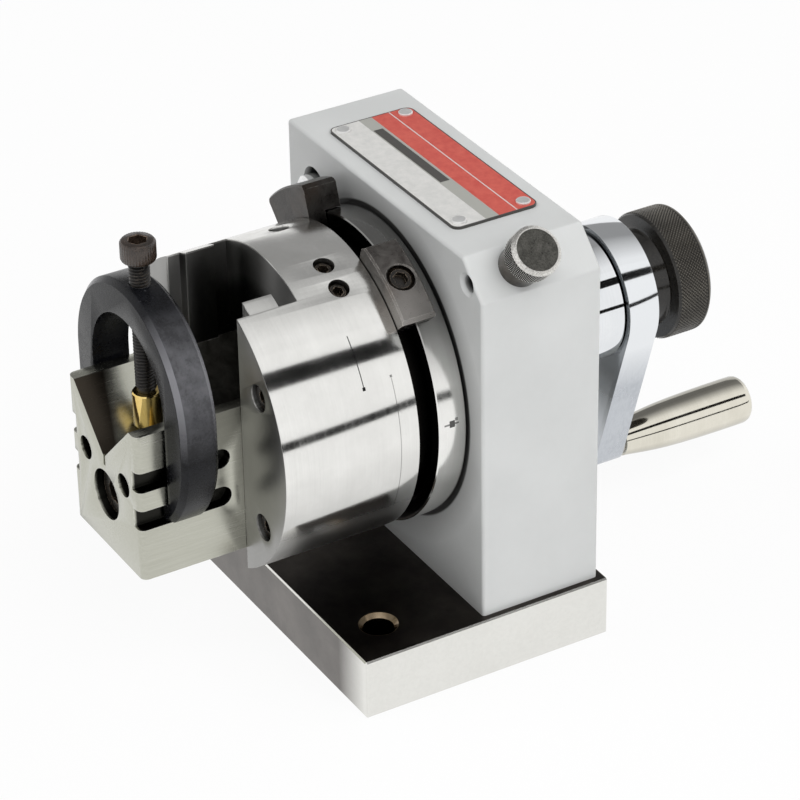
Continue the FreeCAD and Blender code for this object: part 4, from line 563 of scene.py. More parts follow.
def turned_finish(
    name, dark, light, rough, x=0.0, z=SPINDLE_Z * MM, strength=0.12, marks=None, shade=None, dull=None
):
    """Lathe-turned metal with fine rings and faint stains."""
    f = Finish(name)
    rings = f.lathe_lines(2600.0, x, z)
    cloud = f.noise(90.0, 4.0, 0.6)
    tone = f.math("ADD", f.math("MULTIPLY", rings, 0.3), f.math("MULTIPLY", cloud, 0.7))
    color = f.blend(f.ranged(tone, 0.35, 0.65), dark, light)
    band = f.noise(1.0, 3.0, 0.6, f.stretched(4.0, 90.0, 4.0))
    color = f.blend(f.ranged(band, 0.45, 0.75, 0.0, 0.45), color, dark)
    if marks:
        color = f.blend(marks(f), color, (0.02, 0.02, 0.02, 1))
    if shade:
        color = f.blend(shade(f), color, PAINTED_SHADE_BLACK)
    roughness = f.ranged(f.math("ADD", rings, cloud), 0.7, 1.3, rough[0], rough[1])
    if dull:
        roughness = f.math("MAXIMUM", roughness, dull(f))
    normal = f.bump(rings, strength, 0.0001)
    return f.set(color=color, metal=1.0, rough=roughness, normal=normal)


def chuck_shade(f):
    """Painted shade in the chuck's slot and screw holes, on its rear face, over its front face and underneath.
    """
    radius, along, angle = f.round_place()
    depth = f.below((CHUCK_RADIUS * MM, radius), (along, CHUCK_FRONT_Y * MM))
    near = f.ranged(depth, 0.15 * MM, 0.6 * MM, 0.0, 0.80)
    far = f.ranged(depth, 0.6 * MM, 14.0 * MM, 0.5, 0.95)
    far = f.math("MULTIPLY", far, f.math("GREATER_THAN", depth, 0.6 * MM))
    front = f.math("LESS_THAN", along, (CHUCK_FRONT_Y + 0.1) * MM)
    under = f.ranged(f.math("ABSOLUTE", angle), math.radians(88), math.radians(128), 0.0, 0.5)
    return f.chain("MAXIMUM", near, far, f.math("MULTIPLY", front, 0.6), under)


def chuck_dull(f):
    """Rougher on the chuck's flat front face, inside its slot, over its top and underneath."""
    radius, along, angle = f.round_place()
    front = f.math("MULTIPLY", f.math("LESS_THAN", along, (CHUCK_FRONT_Y + 0.1) * MM), 0.38)
    inside = f.math("MULTIPLY", f.math("LESS_THAN", radius, (CHUCK_RADIUS - 0.3) * MM), 0.30)
    turn = f.math("ABSOLUTE", angle)
    over = f.ranged(turn, math.radians(52), math.radians(30), 0.0, 0.24)
    under = f.ranged(turn, math.radians(106), math.radians(120), 0.0, 0.34)
    return f.chain("MAXIMUM", front, inside, over, under)


def ring_shade(f):
    """Painted shade on the stop ring's faces inside its rim and over its top."""
    radius, _, angle = f.round_place()
    inside = f.ranged(f.below((RING_RADIUS * MM, radius)), 0.3 * MM, 1.0 * MM)
    top = f.ranged(f.math("ABSOLUTE", angle), math.radians(72), math.radians(48), 0.0, 0.72)
    return f.math("MAXIMUM", inside, top)


def handle_shade(f):
    """Painted shade along the top and the underside of the handle."""
    angle = f.round_place(ARM_END[0] * MM, ARM_END[1] * MM)[2]
    top = f.ranged(angle, math.radians(32), math.radians(6), 0.0, 0.5)
    under = f.ranged(angle, math.radians(102), math.radians(132), 0.0, 0.36)
    return f.math("MAXIMUM", top, under)


def scribed(f, lines):
    """Mask of scribed arcs, each (place along Y in mm, first angle, last angle, width in mm, strength)."""
    _, along, angle = f.round_place()
    mask = 0.0
    for y, first, last, width, strength in lines:
        near = f.math("COMPARE", along, y * MM, width / 2 * MM)
        middle, half = math.radians((first + last) / 2), math.radians((last - first) / 2)
        within = f.math("COMPARE", angle, middle, half)
        one = f.chain("MULTIPLY", near, within, strength)
        mask = f.math("MAXIMUM", mask, one)
    return mask


def chuck_marks(f):
    lines = [(-30.0, 44.8, 64.0, 0.3, 0.9), (-30.0, 63.4, 64.7, 0.9, 1.0)]
    lines += [(-21.3, 63.0, 117.6, 0.25, 0.5), (-21.3, 62.0, 62.9, 0.7, 0.7)]
    return scribed(f, lines)


def ring_marks(f):
    lines = [(-5.4, 84.6, 87.2, 1.7, 0.9), (-5.6, 85.6, 86.3, 4.6, 0.7), (-4.0, 83.8, 85.0, 0.9, 0.6)]
    return scribed(f, lines)


def dog_shade(f):
    """Painted shade: the left dog is the darker of the two."""
    angle = f.round_place()[2]
    return f.ranged(angle, math.radians(12), math.radians(4), 0.0, 0.62)


def dog_painted_highlight(f):
    """Painted highlight on the right dog towards its lower end, in patches."""
    angle = f.round_place()[2]
    patch = f.ranged(f.noise(120.0, 4.0), 0.35, 0.65, 0.75, 1.0)
    return f.math("MULTIPLY", f.ranged(angle, math.radians(33), math.radians(46)), patch)


def mottled_finish(name, dark, light, warm, rough=(0.28, 0.5), worn=0.8, shade=None, rubbed=None):
    """Heat-treated or blackened steel with patches, specks and worn edges, and an optional painted highlight
    and painted shade.
    """
    f = Finish(name)
    patches = f.noise(180.0, 6.0, 0.65, distortion=0.6)
    specks = f.noise(2200.0, 3.0, 0.6)
    color = f.blend(f.ranged(patches, 0.35, 0.65), dark, light)
    color = f.blend(f.ranged(f.noise(75.0, 4.0), 0.5, 0.75, 0.0, 0.6), color, warm)
    edge = f.worn_edges(0.35, 0.35)
    # Optional painted highlight from the given mask.
    if rubbed:
        color = f.blend(rubbed(f), color, (0.30, 0.285, 0.27, 1))
    color = f.blend(f.math("MULTIPLY", edge, worn), color, (0.62, 0.59, 0.55, 1))
    if shade:
        color = f.blend(shade(f), color, PAINTED_SHADE_BLACK)
    roughness = f.ranged(f.math("ADD", patches, specks), 0.7, 1.3, rough[0], rough[1])
    normal = f.bump(specks, 0.14, 0.0001, f.bump(patches, 0.08, 0.0003))
    return f.set(color=color, metal=1.0, rough=roughness, normal=normal)


def sleeve_shade(f):
    """Painted shade at the sleeve's rear end, next to the crank arm."""
    y = f.split()[1]
    return f.ranged(y, (SLEEVE_END_Y - 0.12) * MM, (SLEEVE_END_Y - 0.04) * MM)


def spindle_shade(f):
    """Painted shade on the spindle's flange in front of the housing."""
    y = f.split()[1]
    return f.ranged(y, 2.0 * MM, 0.0)


def yoke_painted_highlight_and_wear(f):
    """Painted highlight on the shoulder and the chamfer of the yoke's rim, scattered with rubbed specks."""
    x, y, z = f.split()
    up = f.math("SUBTRACT", z, YOKE_UPPER_Z * MM)
    angle = f.math("ARCTAN2", f.math("ABSOLUTE", x), up)
    rise = f.ranged(angle, math.radians(22), math.radians(55))
    fall = f.ranged(angle, math.radians(104), math.radians(70))
    rim = f.math("GREATER_THAN", f.length(x, f.math("MAXIMUM", up, 0.0)), (YOKE_RADIUS - 0.2) * MM)
    shoulder = f.chain("MULTIPLY", rise, fall, rim, f.ranged(f.noise(260.0, 5.0, 0.65), 0.3, 0.7, 0.15, 0.40))
    from_rim = f.math("SUBTRACT", YOKE_RADIUS * MM, f.length(x, f.math("MAXIMUM", up, 0.0)))
    from_middle = f.math("ABSOLUTE", f.math("SUBTRACT", y, YOKE_Y * MM))
    from_side = f.math("SUBTRACT", YOKE_WIDTH / 2 * MM, from_middle)
    on_slant = f.math("COMPARE", f.math("ADD", from_rim, from_side), YOKE_CHAMFER * MM, 0.15 * MM)
    inside = f.math("GREATER_THAN", f.math("MINIMUM", from_rim, from_side), 0.1 * MM)
    chamfer = f.chain("MULTIPLY", rise, fall, on_slant, inside, 0.75)
    specks = f.ranged(f.noise(1500.0, 4.0, 0.7), 0.64, 0.70)
    patch = f.ranged(f.noise(90.0, 4.0), 0.46, 0.62)
    return f.chain("MAXIMUM", shoulder, chamfer, f.chain("MULTIPLY", specks, patch, rim, 0.6))


def black_finish(
    name, dark, light, rough, worn=0.5, worn_color=(0.34, 0.27, 0.2, 1), gloss=0.3, lit=None
):
    """Blackened steel: near black with a fine grain and rubbed edges."""
    f = Finish(name)
    grain_noise = f.noise(1300.0, 5.0, 0.7)
    cloud = f.noise(130.0, 5.0, 0.6)
    both = f.math("ADD", grain_noise, cloud)
    color = f.blend(f.ranged(both, 0.75, 1.25), dark, light)
    # Optional painted highlight, with rubbed specks, from the given mask.
    if lit:
        color = f.blend(lit(f), color, (0.28, 0.28, 0.30, 1))
    color = f.blend(f.math("MULTIPLY", f.worn_edges(0.35, 0.4), worn), color, worn_color)
    roughness = f.ranged(both, 0.7, 1.3, rough[0], rough[1])
    normal = f.bump(grain_noise, 0.25, 0.00012, f.bump(cloud, 0.1, 0.0003))
    return f.set(color=color, metal=0.0, rough=roughness, normal=normal, gloss=gloss)


def knob_finish():
    """Plunger knob: dark knurl, a bright rubbed rim and a dark mottled top."""
    f = Finish("knob_black_oxide")
    x, y, z = f.split()
    up = f.math("SUBTRACT", z, SPINDLE_Z * MM)
    along = f.math("MULTIPLY", f.math("ADD", x, up), math.sqrt(0.5))
    aside = f.math("MULTIPLY", f.math("SUBTRACT", x, up), math.sqrt(0.5))
    radius = f.length(aside, f.math("SUBTRACT", y, PLUNGER_Y * MM))
    patches = f.noise(420.0, 5.0, 0.7)
    specks = f.noise(2400.0, 3.0, 0.7)
    both = f.math("ADD", patches, specks)
    top = f.blend(f.ranged(both, 0.7, 1.3), (0.035, 0.035, 0.031, 1), (0.17, 0.165, 0.15, 1))
    raised = f.ranged(radius, (KNOB_RADIUS - KNURL_FINE * 0.62) * MM, (KNOB_RADIUS - 0.03) * MM)
    side = f.blend(raised, (0.004, 0.004, 0.0035, 1), (0.80, 0.79, 0.75, 1))
    high = f.math("GREATER_THAN", along, (KNOB_TOP - KNOB_EDGE_BREAK - 0.1) * MM)
    color = f.blend(high, side, top)
    outer = f.math("GREATER_THAN", radius, (KNOB_RADIUS - KNOB_EDGE_BREAK - 0.35) * MM)
    rim = f.math("MULTIPLY", high, outer)
    bright = f.blend(f.ranged(specks, 0.35, 0.6), (0.45, 0.43, 0.40, 1), (0.82, 0.81, 0.78, 1))
    color = f.blend(rim, color, bright)
    roughness = f.ranged(both, 0.7, 1.3, 0.26, 0.46)
    return f.set(color=color, metal=1.0, rough=roughness, normal=f.bump(specks, 0.2, 0.0001))


def nut_finish():
    """Black nut: glossy neck, fine grain and rubbed knurl tips."""
    f = Finish("nut_black_oxide")
    radius, along, _ = f.round_place()
    grain = f.noise(1300.0, 5.0, 0.7)
    color = f.blend(f.ranged(grain, 0.35, 0.65), (0.005, 0.0045, 0.004, 1), (0.018, 0.016, 0.013, 1))
    raised = f.ranged(radius, (NUT_RADIUS - KNURL_COARSE) * MM, (NUT_RADIUS - 0.1) * MM)
    patch = f.ranged(f.noise(60.0, 3.0), 0.35, 0.65, 0.3, 1.0)
    color = f.blend(f.math("MULTIPLY", raised, patch), color, (0.17, 0.155, 0.13, 1))
    neck = f.math("LESS_THAN", along, (NUT_FRONT_Y + NUT_NECK_LENGTH - 0.1) * MM)
    roughness = f.math("SUBTRACT", f.ranged(grain, 0.3, 0.7, 0.24, 0.38), f.math("MULTIPLY", neck, 0.16))
    strength = f.math("SUBTRACT", 0.12, f.math("MULTIPLY", neck, 0.10))
    return f.set(color=color, metal=0.0, rough=roughness, normal=f.bump(grain, strength, 0.0001), gloss=0.5)


def arm_finish():
    """Crank arm: bright polished hub over a satin arm."""
    f = Finish("arm_satin_steel")
    _, y, z = f.split()
    marks = f.noise(1.0, 4.0, 0.7, f.stretched(1500, 1500, 60))
    cloud = f.noise(60.0, 5.0, 0.6)
    tone = f.ranged(f.math("ADD", marks, cloud), 0.8, 1.2)
    color = f.blend(tone, (0.47, 0.495, 0.53, 1), (0.56, 0.585, 0.62, 1))
    polish = f.ranged(z, 50.0 * MM, 66.0 * MM)
    color = f.blend(polish, color, (0.82, 0.84, 0.86, 1))
    inner_face = f.ranged(y, (ARM_FRONT_Y + 0.12) * MM, (ARM_FRONT_Y + 0.04) * MM)
    shadow = f.math("MULTIPLY", inner_face, f.ranged(z, 30.0 * MM, 48.0 * MM, 0.0, 0.7))
    color = f.blend(shadow, color, (0.05, 0.06, 0.065, 1))
    roughness = f.math("ADD", f.ranged(polish, 0.0, 1.0, 0.24, 0.06), f.ranged(cloud, 0.3, 0.7, 0.0, 0.06))
    strength = f.ranged(polish, 0.0, 1.0, 0.05, 0.008)
    return f.set(color=color, metal=1.0, rough=roughness, normal=f.bump(marks, strength, 0.0001))


def plate_finish():
    """Printed name plate: bare bands of colour inside a thin dark border."""
    f = Finish("plate_print")
    x, y, _ = f.split()
    scuff = f.noise(500.0, 4.0, 0.6)
    silver = f.blend(f.ranged(scuff, 0.3, 0.7), (0.60, 0.60, 0.58, 1), (0.70, 0.69, 0.67, 1))
    red = f.blend(f.ranged(scuff, 0.3, 0.7), (0.52, 0.060, 0.045, 1), (0.62, 0.11, 0.078, 1))
    color = f.blend(f.math("GREATER_THAN", y, 15.4 * MM), silver, (0.38, 0.38, 0.35, 1))
    color = f.blend(f.math("GREATER_THAN", y, 19.6 * MM), color, red)
    line = f.math("COMPARE", y, 25.4 * MM, 0.2 * MM)
    color = f.blend(line, color, (0.62, 0.55, 0.54, 1))
    box_x = f.math("COMPARE", x, -13.5 * MM, 18.5 * MM)
    box_y = f.math("COMPARE", y, 17.3 * MM, 1.5 * MM)
    color = f.blend(f.math("MULTIPLY", box_x, box_y), color, (0.055, 0.052, 0.048, 1))
    half_x, half_y = PLATE_LENGTH / 2, PLATE_WIDTH / 2
    far_x = f.math("ABSOLUTE", f.math("SUBTRACT", x, PLATE_CENTRE_X * MM))
    far_y = f.math("ABSOLUTE", f.math("SUBTRACT", y, PLATE_CENTRE_Y * MM))
    over_x = f.math("MAXIMUM", f.math("SUBTRACT", far_x, (half_x - PLATE_CORNER_RADIUS) * MM), 0.0)
    over_y = f.math("MAXIMUM", f.math("SUBTRACT", far_y, (half_y - PLATE_CORNER_RADIUS) * MM), 0.0)
    border = f.math("GREATER_THAN", f.length(over_x, over_y), (PLATE_CORNER_RADIUS - 0.35) * MM)
    color = f.blend(border, color, (0.05, 0.048, 0.045, 1))
    rough = f.ranged(scuff, 0.3, 0.7, 0.28, 0.42)
    normal = f.bump(f.noise(800.0, 2.0), 0.08, 0.0001)
    return f.set(color=color, metal=0.0, rough=rough, normal=normal, gloss=0.5)


STEEL_DARK, STEEL_LIGHT = (0.76, 0.755, 0.73, 1), (0.87, 0.865, 0.84, 1)

FINISHES = {
    "housing": paint_finish(),
    "base": base_finish(),
    "chuck": turned_finish(
        "chuck_turned_steel", STEEL_DARK, STEEL_LIGHT, (0.07, 0.14), strength=0.02, marks=chuck_marks,
        shade=chuck_shade, dull=chuck_dull,
    ),
    "ring": turned_finish(
        "ring_turned_steel", (0.80, 0.795, 0.77, 1), (0.90, 0.895, 0.87, 1), (0.10, 0.18), strength=0.025,
        marks=ring_marks, shade=ring_shade,
    ),
    "block": ground_finish(
        "block_ground_steel", (0.465, 0.465, 0.40, 1), (0.525, 0.525, 0.46, 1), (1800, 40, 1800),
        (0.20, 0.29),
        shade=block_shade, painted_reflection=block_painted_reflection, worn=0.6,
    ),
    "dog": mottled_finish(
        "dog_hardened_steel", (0.065, 0.059, 0.055, 1), (0.17, 0.16, 0.15, 1), (0.12, 0.085, 0.065, 1),
        (0.24, 0.4), 1.0, dog_shade, dog_painted_highlight,
    ),
    "steel": mottled_finish(
        "inner_hardened_steel", (0.40, 0.39, 0.37, 1), (0.58, 0.57, 0.55, 1), (0.48, 0.44, 0.38, 1),
        (0.22, 0.4), 0.4,
    ),
    "spindle": mottled_finish(
        "spindle_hardened_steel", (0.40, 0.39, 0.37, 1), (0.58, 0.57, 0.55, 1), (0.48, 0.44, 0.38, 1),
        (0.22, 0.4), 0.4, spindle_shade,
    ),
    "carriage": mottled_finish(
        "carriage_dark_steel", (0.012, 0.012, 0.010, 1), (0.055, 0.053, 0.047, 1), (0.03, 0.027, 0.022, 1),
        (0.28, 0.42), 0.3,
    ),
    "bush": mottled_finish(
        "bush_dark_steel", (0.05, 0.048, 0.045, 1), (0.22, 0.21, 0.20, 1), (0.12, 0.1, 0.08, 1),
        (0.14, 0.3), 0.3,
    ),
    "yoke": black_finish(
        "yoke_black_oxide", (0.0025, 0.0025, 0.003, 1), (0.010, 0.0105, 0.013, 1), (0.20, 0.36), 0.9,
        (0.20, 0.20, 0.21, 1), gloss=0.18, lit=yoke_painted_highlight_and_wear,
    ),
    "screw": black_finish(
        "screw_black_oxide", (0.004, 0.0035, 0.003, 1), (0.020, 0.015, 0.011, 1), (0.18, 0.34), 0.8
    ),
    "head": black_finish(
        "head_browned_steel", (0.008, 0.0055, 0.004, 1), (0.050, 0.034, 0.025, 1), (0.16, 0.30), 1.0,
        (0.42, 0.29, 0.20, 1), gloss=0.6,
    ),
    "thread": black_finish(
        "thread_black_oxide", (0.003, 0.003, 0.003, 1), (0.010, 0.008, 0.007, 1), (0.24, 0.38), 0.3, gloss=0.4
    ),
    "nut": nut_finish(),
    "knob": knob_finish(),
    "brass": turned_finish(
        "tip_brass", (0.74, 0.52, 0.16, 1), (0.90, 0.70, 0.30, 1), (0.08, 0.16), 0.0, 0.0, 0.01
    ),
    "chrome": turned_finish(
        "sleeve_chrome", (0.76, 0.78, 0.80, 1), (0.84, 0.855, 0.87, 1), (0.03, 0.07), strength=0.01,
        shade=sleeve_shade,
    ),
    "nickel": turned_finish(
        "handle_nickel", (0.70, 0.67, 0.58, 1), (0.80, 0.77, 0.68, 1), (0.05, 0.11),
        ARM_END[0] * MM, ARM_END[1] * MM, 0.01, shade=handle_shade,
    ),
    "arm": arm_finish(),
    "pin": turned_finish(
        "pin_chrome", (0.70, 0.70, 0.70, 1), (0.84, 0.84, 0.84, 1), (0.08, 0.16),
        STOP_PIN_X * MM, STOP_PIN_Z * MM, 0.02,
    ),
    "rivet": mottled_finish(
        "rivet_bright_metal", (0.86, 0.86, 0.85, 1), (0.95, 0.95, 0.94, 1), (0.9, 0.9, 0.88, 1),
        (0.40, 0.6), 0.2,
    ),
    "plate": plate_finish(),
}

CAD_FINISH = {
    "base_plate": "base", "base_screws": "screw", "housing": "housing", "name_plate": "plate",
    "plate_rivets": "rivet", "stop_pin": "pin", "front_bearing_outer": "steel", "front_bearing_inner": "steel",
    "rear_bearing_outer": "steel", "rear_bearing_inner": "steel", "rear_sleeve": "chrome",
    "sleeve_screws": "screw", "plunger_bush": "bush", "bush_set_screw": "screw", "plunger_pin": "steel",
    "plunger_knob": "knob", "plunger_spring": "steel", "spindle": "spindle", "index_key": "steel",
    "crank_key": "steel", "index_plate": "steel", "preload_nut": "screw", "stop_ring": "ring",
    "ring_screws": "screw", "chuck_body": "chuck", "chuck_screws": "screw", "chuck_set_screws": "screw",
    "right_stop_dog": "dog", "right_dog_screw": "screw", "left_stop_dog": "dog", "left_dog_screw": "screw",
    "v_block": "block", "carriage": "carriage", "v_block_screw": "screw", "v_block_dowels": "steel",
    "carriage_lock_screws": "screw", "clamp_yoke": "yoke", "clamp_screw": "screw", "brass_tip": "brass",
    "crank_arm": "arm", "lock_washer": "steel", "knurled_nut": "nut", "handle_stud": "steel",
    "handle_retainer": "screw", "crank_handle": "nickel",
}


def dress_cad_nodes():
    """Give every CAD node its finish."""
    for name, finish in CAD_FINISH.items():
        node = NODES[name]
        node.data.materials.clear()
        node.data.materials.append(FINISHES[finish])


def place_piece(piece, finish, body, slot, *nodes):
    """Give a new piece its finish, its body and the CAD nodes it stands for."""
    piece.data.materials.clear()
    piece.data.materials.append(FINISHES[finish])
    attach(piece, body)
    if nodes:
        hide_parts(*nodes)


def make_chuck():
    brk = 0.05
    profile = [
        (0.0, CHUCK_FRONT_Y),
        (CHUCK_RADIUS - brk, CHUCK_FRONT_Y),
        (CHUCK_RADIUS, CHUCK_FRONT_Y + brk),
        (CHUCK_RADIUS, CHUCK_REAR_Y - brk),
        (CHUCK_RADIUS - brk, CHUCK_REAR_Y),
        (20.0, CHUCK_REAR_Y),
        (20.0, -33.8),
        (0.0, -33.8),
    ]
    chuck = turned("chuck", profile, steps=192)
    low, high = SPINDLE_Z - 50, SPINDLE_Z + 50
    cutters = [
        brick(-SLOT_HALF_WIDTH, SLOT_HALF_WIDTH, CHUCK_FRONT_Y - 2, SLOT_LIP_FRONT_Y, low, high),
        brick(
            -SLOT_LIP_HALF_WIDTH, SLOT_LIP_HALF_WIDTH, SLOT_LIP_FRONT_Y - 1, SLOT_HEAD_FRONT_Y + 1, low, high
        ),
        brick(-SLOT_HALF_WIDTH, SLOT_HALF_WIDTH, SLOT_HEAD_FRONT_Y, SLOT_FLOOR_Y, low, high),
    ]
    for side_x in (-1, 1):
        for side_z in (-1, 1):
            x, z = side_x * CHUCK_SCREW_X, SPINDLE_Z + side_z * CHUCK_SCREW_RISE
            cutters.append(bar(4.0, (x, CHUCK_FRONT_Y - 2, z), (x, -51.9, z), 48))
            cutters.append(bar(2.2, (x, -52.5, z), (x, CHUCK_REAR_Y + 2, z), 24))
    for angle in CHUCK_SET_SCREW_ANGLES:
        inner, outer = (radial(reach, CHUCK_SET_SCREW_Y, angle) for reach in (12, 48))
        cutters.append(bar(3.0, inner, outer, 40))
    cut(chuck, cutters)
    soften(chuck, 0.25)
    place_piece(chuck, "chuck", "spindle", "polished_steel", "chuck_body")


def make_stop_ring():
    profile = [
        (42.0, -9.6), (RING_RADIUS - 0.3, -9.6), (RING_RADIUS, -9.3), (RING_RADIUS, -1.2),
        (RING_RADIUS - 0.3, -0.9), (29.0, -0.9), (29.0, -5.6), (42.0, -5.6),
    ]
    ring = turned("ring", profile, steps=192, hollow=True)
    soften(ring, 0.0)
    place_piece(ring, "ring", "spindle", "polished_steel", "stop_ring")


def make_rear_sleeve():
    profile = [
        (13.0, 28.7), (43.0, 28.7), (43.0, 31.7), (49.0, 31.7), (49.0, 37.7), (19.9, 37.7), (19.5, 38.1),
        (19.3, 38.6), (19.3, 52.4), (19.05, 52.6), (19.05, 53.0), (19.3, 53.2), (19.3, 68.6),
        (18.7, SLEEVE_END_Y), (16.0, SLEEVE_END_Y), (16.0, 58.2), (13.0, 58.2),
    ]
    sleeve = turned("sleeve", profile, steps=160, hollow=True)
    cutters = []
    for i in range(6):
        x, _, z = radial(45.0, 37.7, 60 * i + 30)
        cutters.append(bar(3.25, (x, 34.3, z), (x, 40.0, z), 32))
        cutters.append(bar(1.7, (x, 29.0, z), (x, 35.0, z), 24))
    cut(sleeve, cutters)
    soften(sleeve, 0.0)
    place_piece(sleeve, "chrome", "frame", "chrome_plate", "rear_sleeve")


def make_v_block():
    half = BLOCK_HALF_WIDTH
    block = brick(-half, half, BLOCK_FRONT_Y, BLOCK_REAR_Y, BLOCK_BOTTOM_Z, BLOCK_TOP_Z)
    block.name = "seat_block"
    pick(block)
    bpy.ops.object.mode_set(mode="EDIT")
    bpy.ops.mesh.select_mode(type="EDGE")
    mesh = bmesh.from_edit_mesh(block.data)
    for edge in mesh.edges:
        middle = (edge.verts[0].co + edge.verts[1].co) / 2
        upright = abs(edge.verts[0].co.z - edge.verts[1].co.z) > 10 * MM
        edge.select_set(upright and middle.y < -80 * MM)
    bmesh.update_edit_mesh(block.data)
    bpy.ops.mesh.bevel(offset=BLOCK_CORNER_RADIUS * MM, segments=6)
    bpy.ops.object.mode_set(mode="OBJECT")
    rise = BLOCK_TOP_Z - V_APEX_Z + 1
    y0, y1 = BLOCK_FRONT_Y - 2, BLOCK_REAR_Y + 2
    cutters = [
        slab("wedge", [(0, V_APEX_Z), (rise, V_APEX_Z + rise), (-rise, V_APEX_Z + rise)], y0, y1),
        brick(-0.6, 0.6, y0, y1, V_APEX_Z - 2.6, V_APEX_Z + 1),
    ]
    radius = GROOVE_HEIGHT / 2
    end = BLOCK_FRONT_Y + GROOVE_LENGTH - radius
    for side in (-1, 1):
        inner, outer = side * (half - GROOVE_DEPTH), side * (half + 1)
        for z in GROOVE_HEIGHTS:
            run = arc(end, z, radius, 0, 180, 16)
            outline = [(y0, z + radius)] + run + [(y0, z - radius)]
            cutters.append(side_groove(outline, inner, outer))
    cutters += [
        bar(7.5, (0, y0, 61.2), (0, BLOCK_FRONT_Y + 10.5, 61.2), 64),
        bar(4.2, (0, BLOCK_FRONT_Y + 10, 61.2), (0, y1, 61.2), 40),
    ]
    for side in (-1, 1):
        cutters.append(bar(3.5, (side * 11.5, y0, 70.35), (side * 11.5, y1, 70.35), 40))
        cutters.append(bar(2.5, (side * 12.0, BLOCK_REAR_Y - 6, 52.0), (side * 12.0, y1, 52.0), 32))
    cut(block, cutters)
    soften(block, 0.3)
    place_piece(block, "block", "carriage", "block_steel", "v_block")


def side_groove(outline, inner, outer):
    """Milled groove from (y, z) corners, between two places along X."""
    piece = trace("groove", [Vector((inner, y, z)) * MM for y, z in outline])
    close_chain(piece)
    bpy.ops.mesh.edge_face_add()
    bpy.ops.mesh.extrude_region_move(TRANSFORM_OT_translate={"value": ((outer - inner) * MM, 0, 0)})
    bpy.ops.mesh.select_all(action="SELECT")
    bpy.ops.mesh.normals_make_consistent(inside=False)
    bpy.ops.object.mode_set(mode="OBJECT")
    return piece


def make_yoke():
    radius = YOKE_RADIUS
    drop = YOKE_LOWER_Z - YOKE_LIP_LOW_Z
    low_angle = 180 - math.degrees(math.acos(drop / radius))
    lip = YOKE_LIP_X
    inner = YOKE_INNER_RADIUS
    outline = arc(0, YOKE_UPPER_Z, radius, -90, 90, 64)
    outline += arc(0, YOKE_LOWER_Z, radius, 90, low_angle, 20)
    outline += [(lip, YOKE_LIP_LOW_Z), (lip, YOKE_LIP_HIGH_Z), (inner, YOKE_LIP_HIGH_Z)]
    outline += arc(0, YOKE_INNER_Z, inner, 90, -90, 56)
    outline += [(-inner, YOKE_LIP_HIGH_Z), (-lip, YOKE_LIP_HIGH_Z), (-lip, YOKE_LIP_LOW_Z)]
    outline += arc(0, YOKE_LOWER_Z, radius, -low_angle, -90, 20)[:-1]
    front, rear = YOKE_Y - YOKE_WIDTH / 2, YOKE_Y + YOKE_WIDTH / 2
    yoke = slab("yoke", outline, front, rear)
    pick(yoke)
    bpy.ops.object.mode_set(mode="EDIT")
    bpy.ops.mesh.remove_doubles(threshold=0.01 * MM)
    mesh = bmesh.from_edit_mesh(yoke.data)
    bpy.ops.mesh.select_mode(type="EDGE")
    for edge in mesh.edges:
        a, b = edge.verts
        same_face = abs(a.co.y - b.co.y) < 0.01 * MM
        outside = min(rim_distance(a.co), rim_distance(b.co)) > -0.02
        edge.select_set(same_face and outside)
    bmesh.update_edit_mesh(yoke.data)
    bpy.ops.mesh.bevel(offset=YOKE_CHAMFER * MM, segments=1)
    bpy.ops.object.mode_set(mode="OBJECT")
    cut(yoke, [bar(3.05, (0, YOKE_Y, 100), (0, YOKE_Y, 130), 48)])
    soften(yoke, 0.2)
    place_piece(yoke, "yoke", "yoke", "black_oxide", "clamp_yoke")


def rim_distance(place):
    """How far a point lies outside the yoke's outer outline, in millimetres."""
    x, z = abs(place.x) / MM, place.z / MM
    if z > YOKE_UPPER_Z:
        return math.hypot(x, z - YOKE_UPPER_Z) - YOKE_RADIUS
    if z < YOKE_LOWER_Z:
        return math.hypot(x, z - YOKE_LOWER_Z) - YOKE_RADIUS
    return x - YOKE_RADIUS


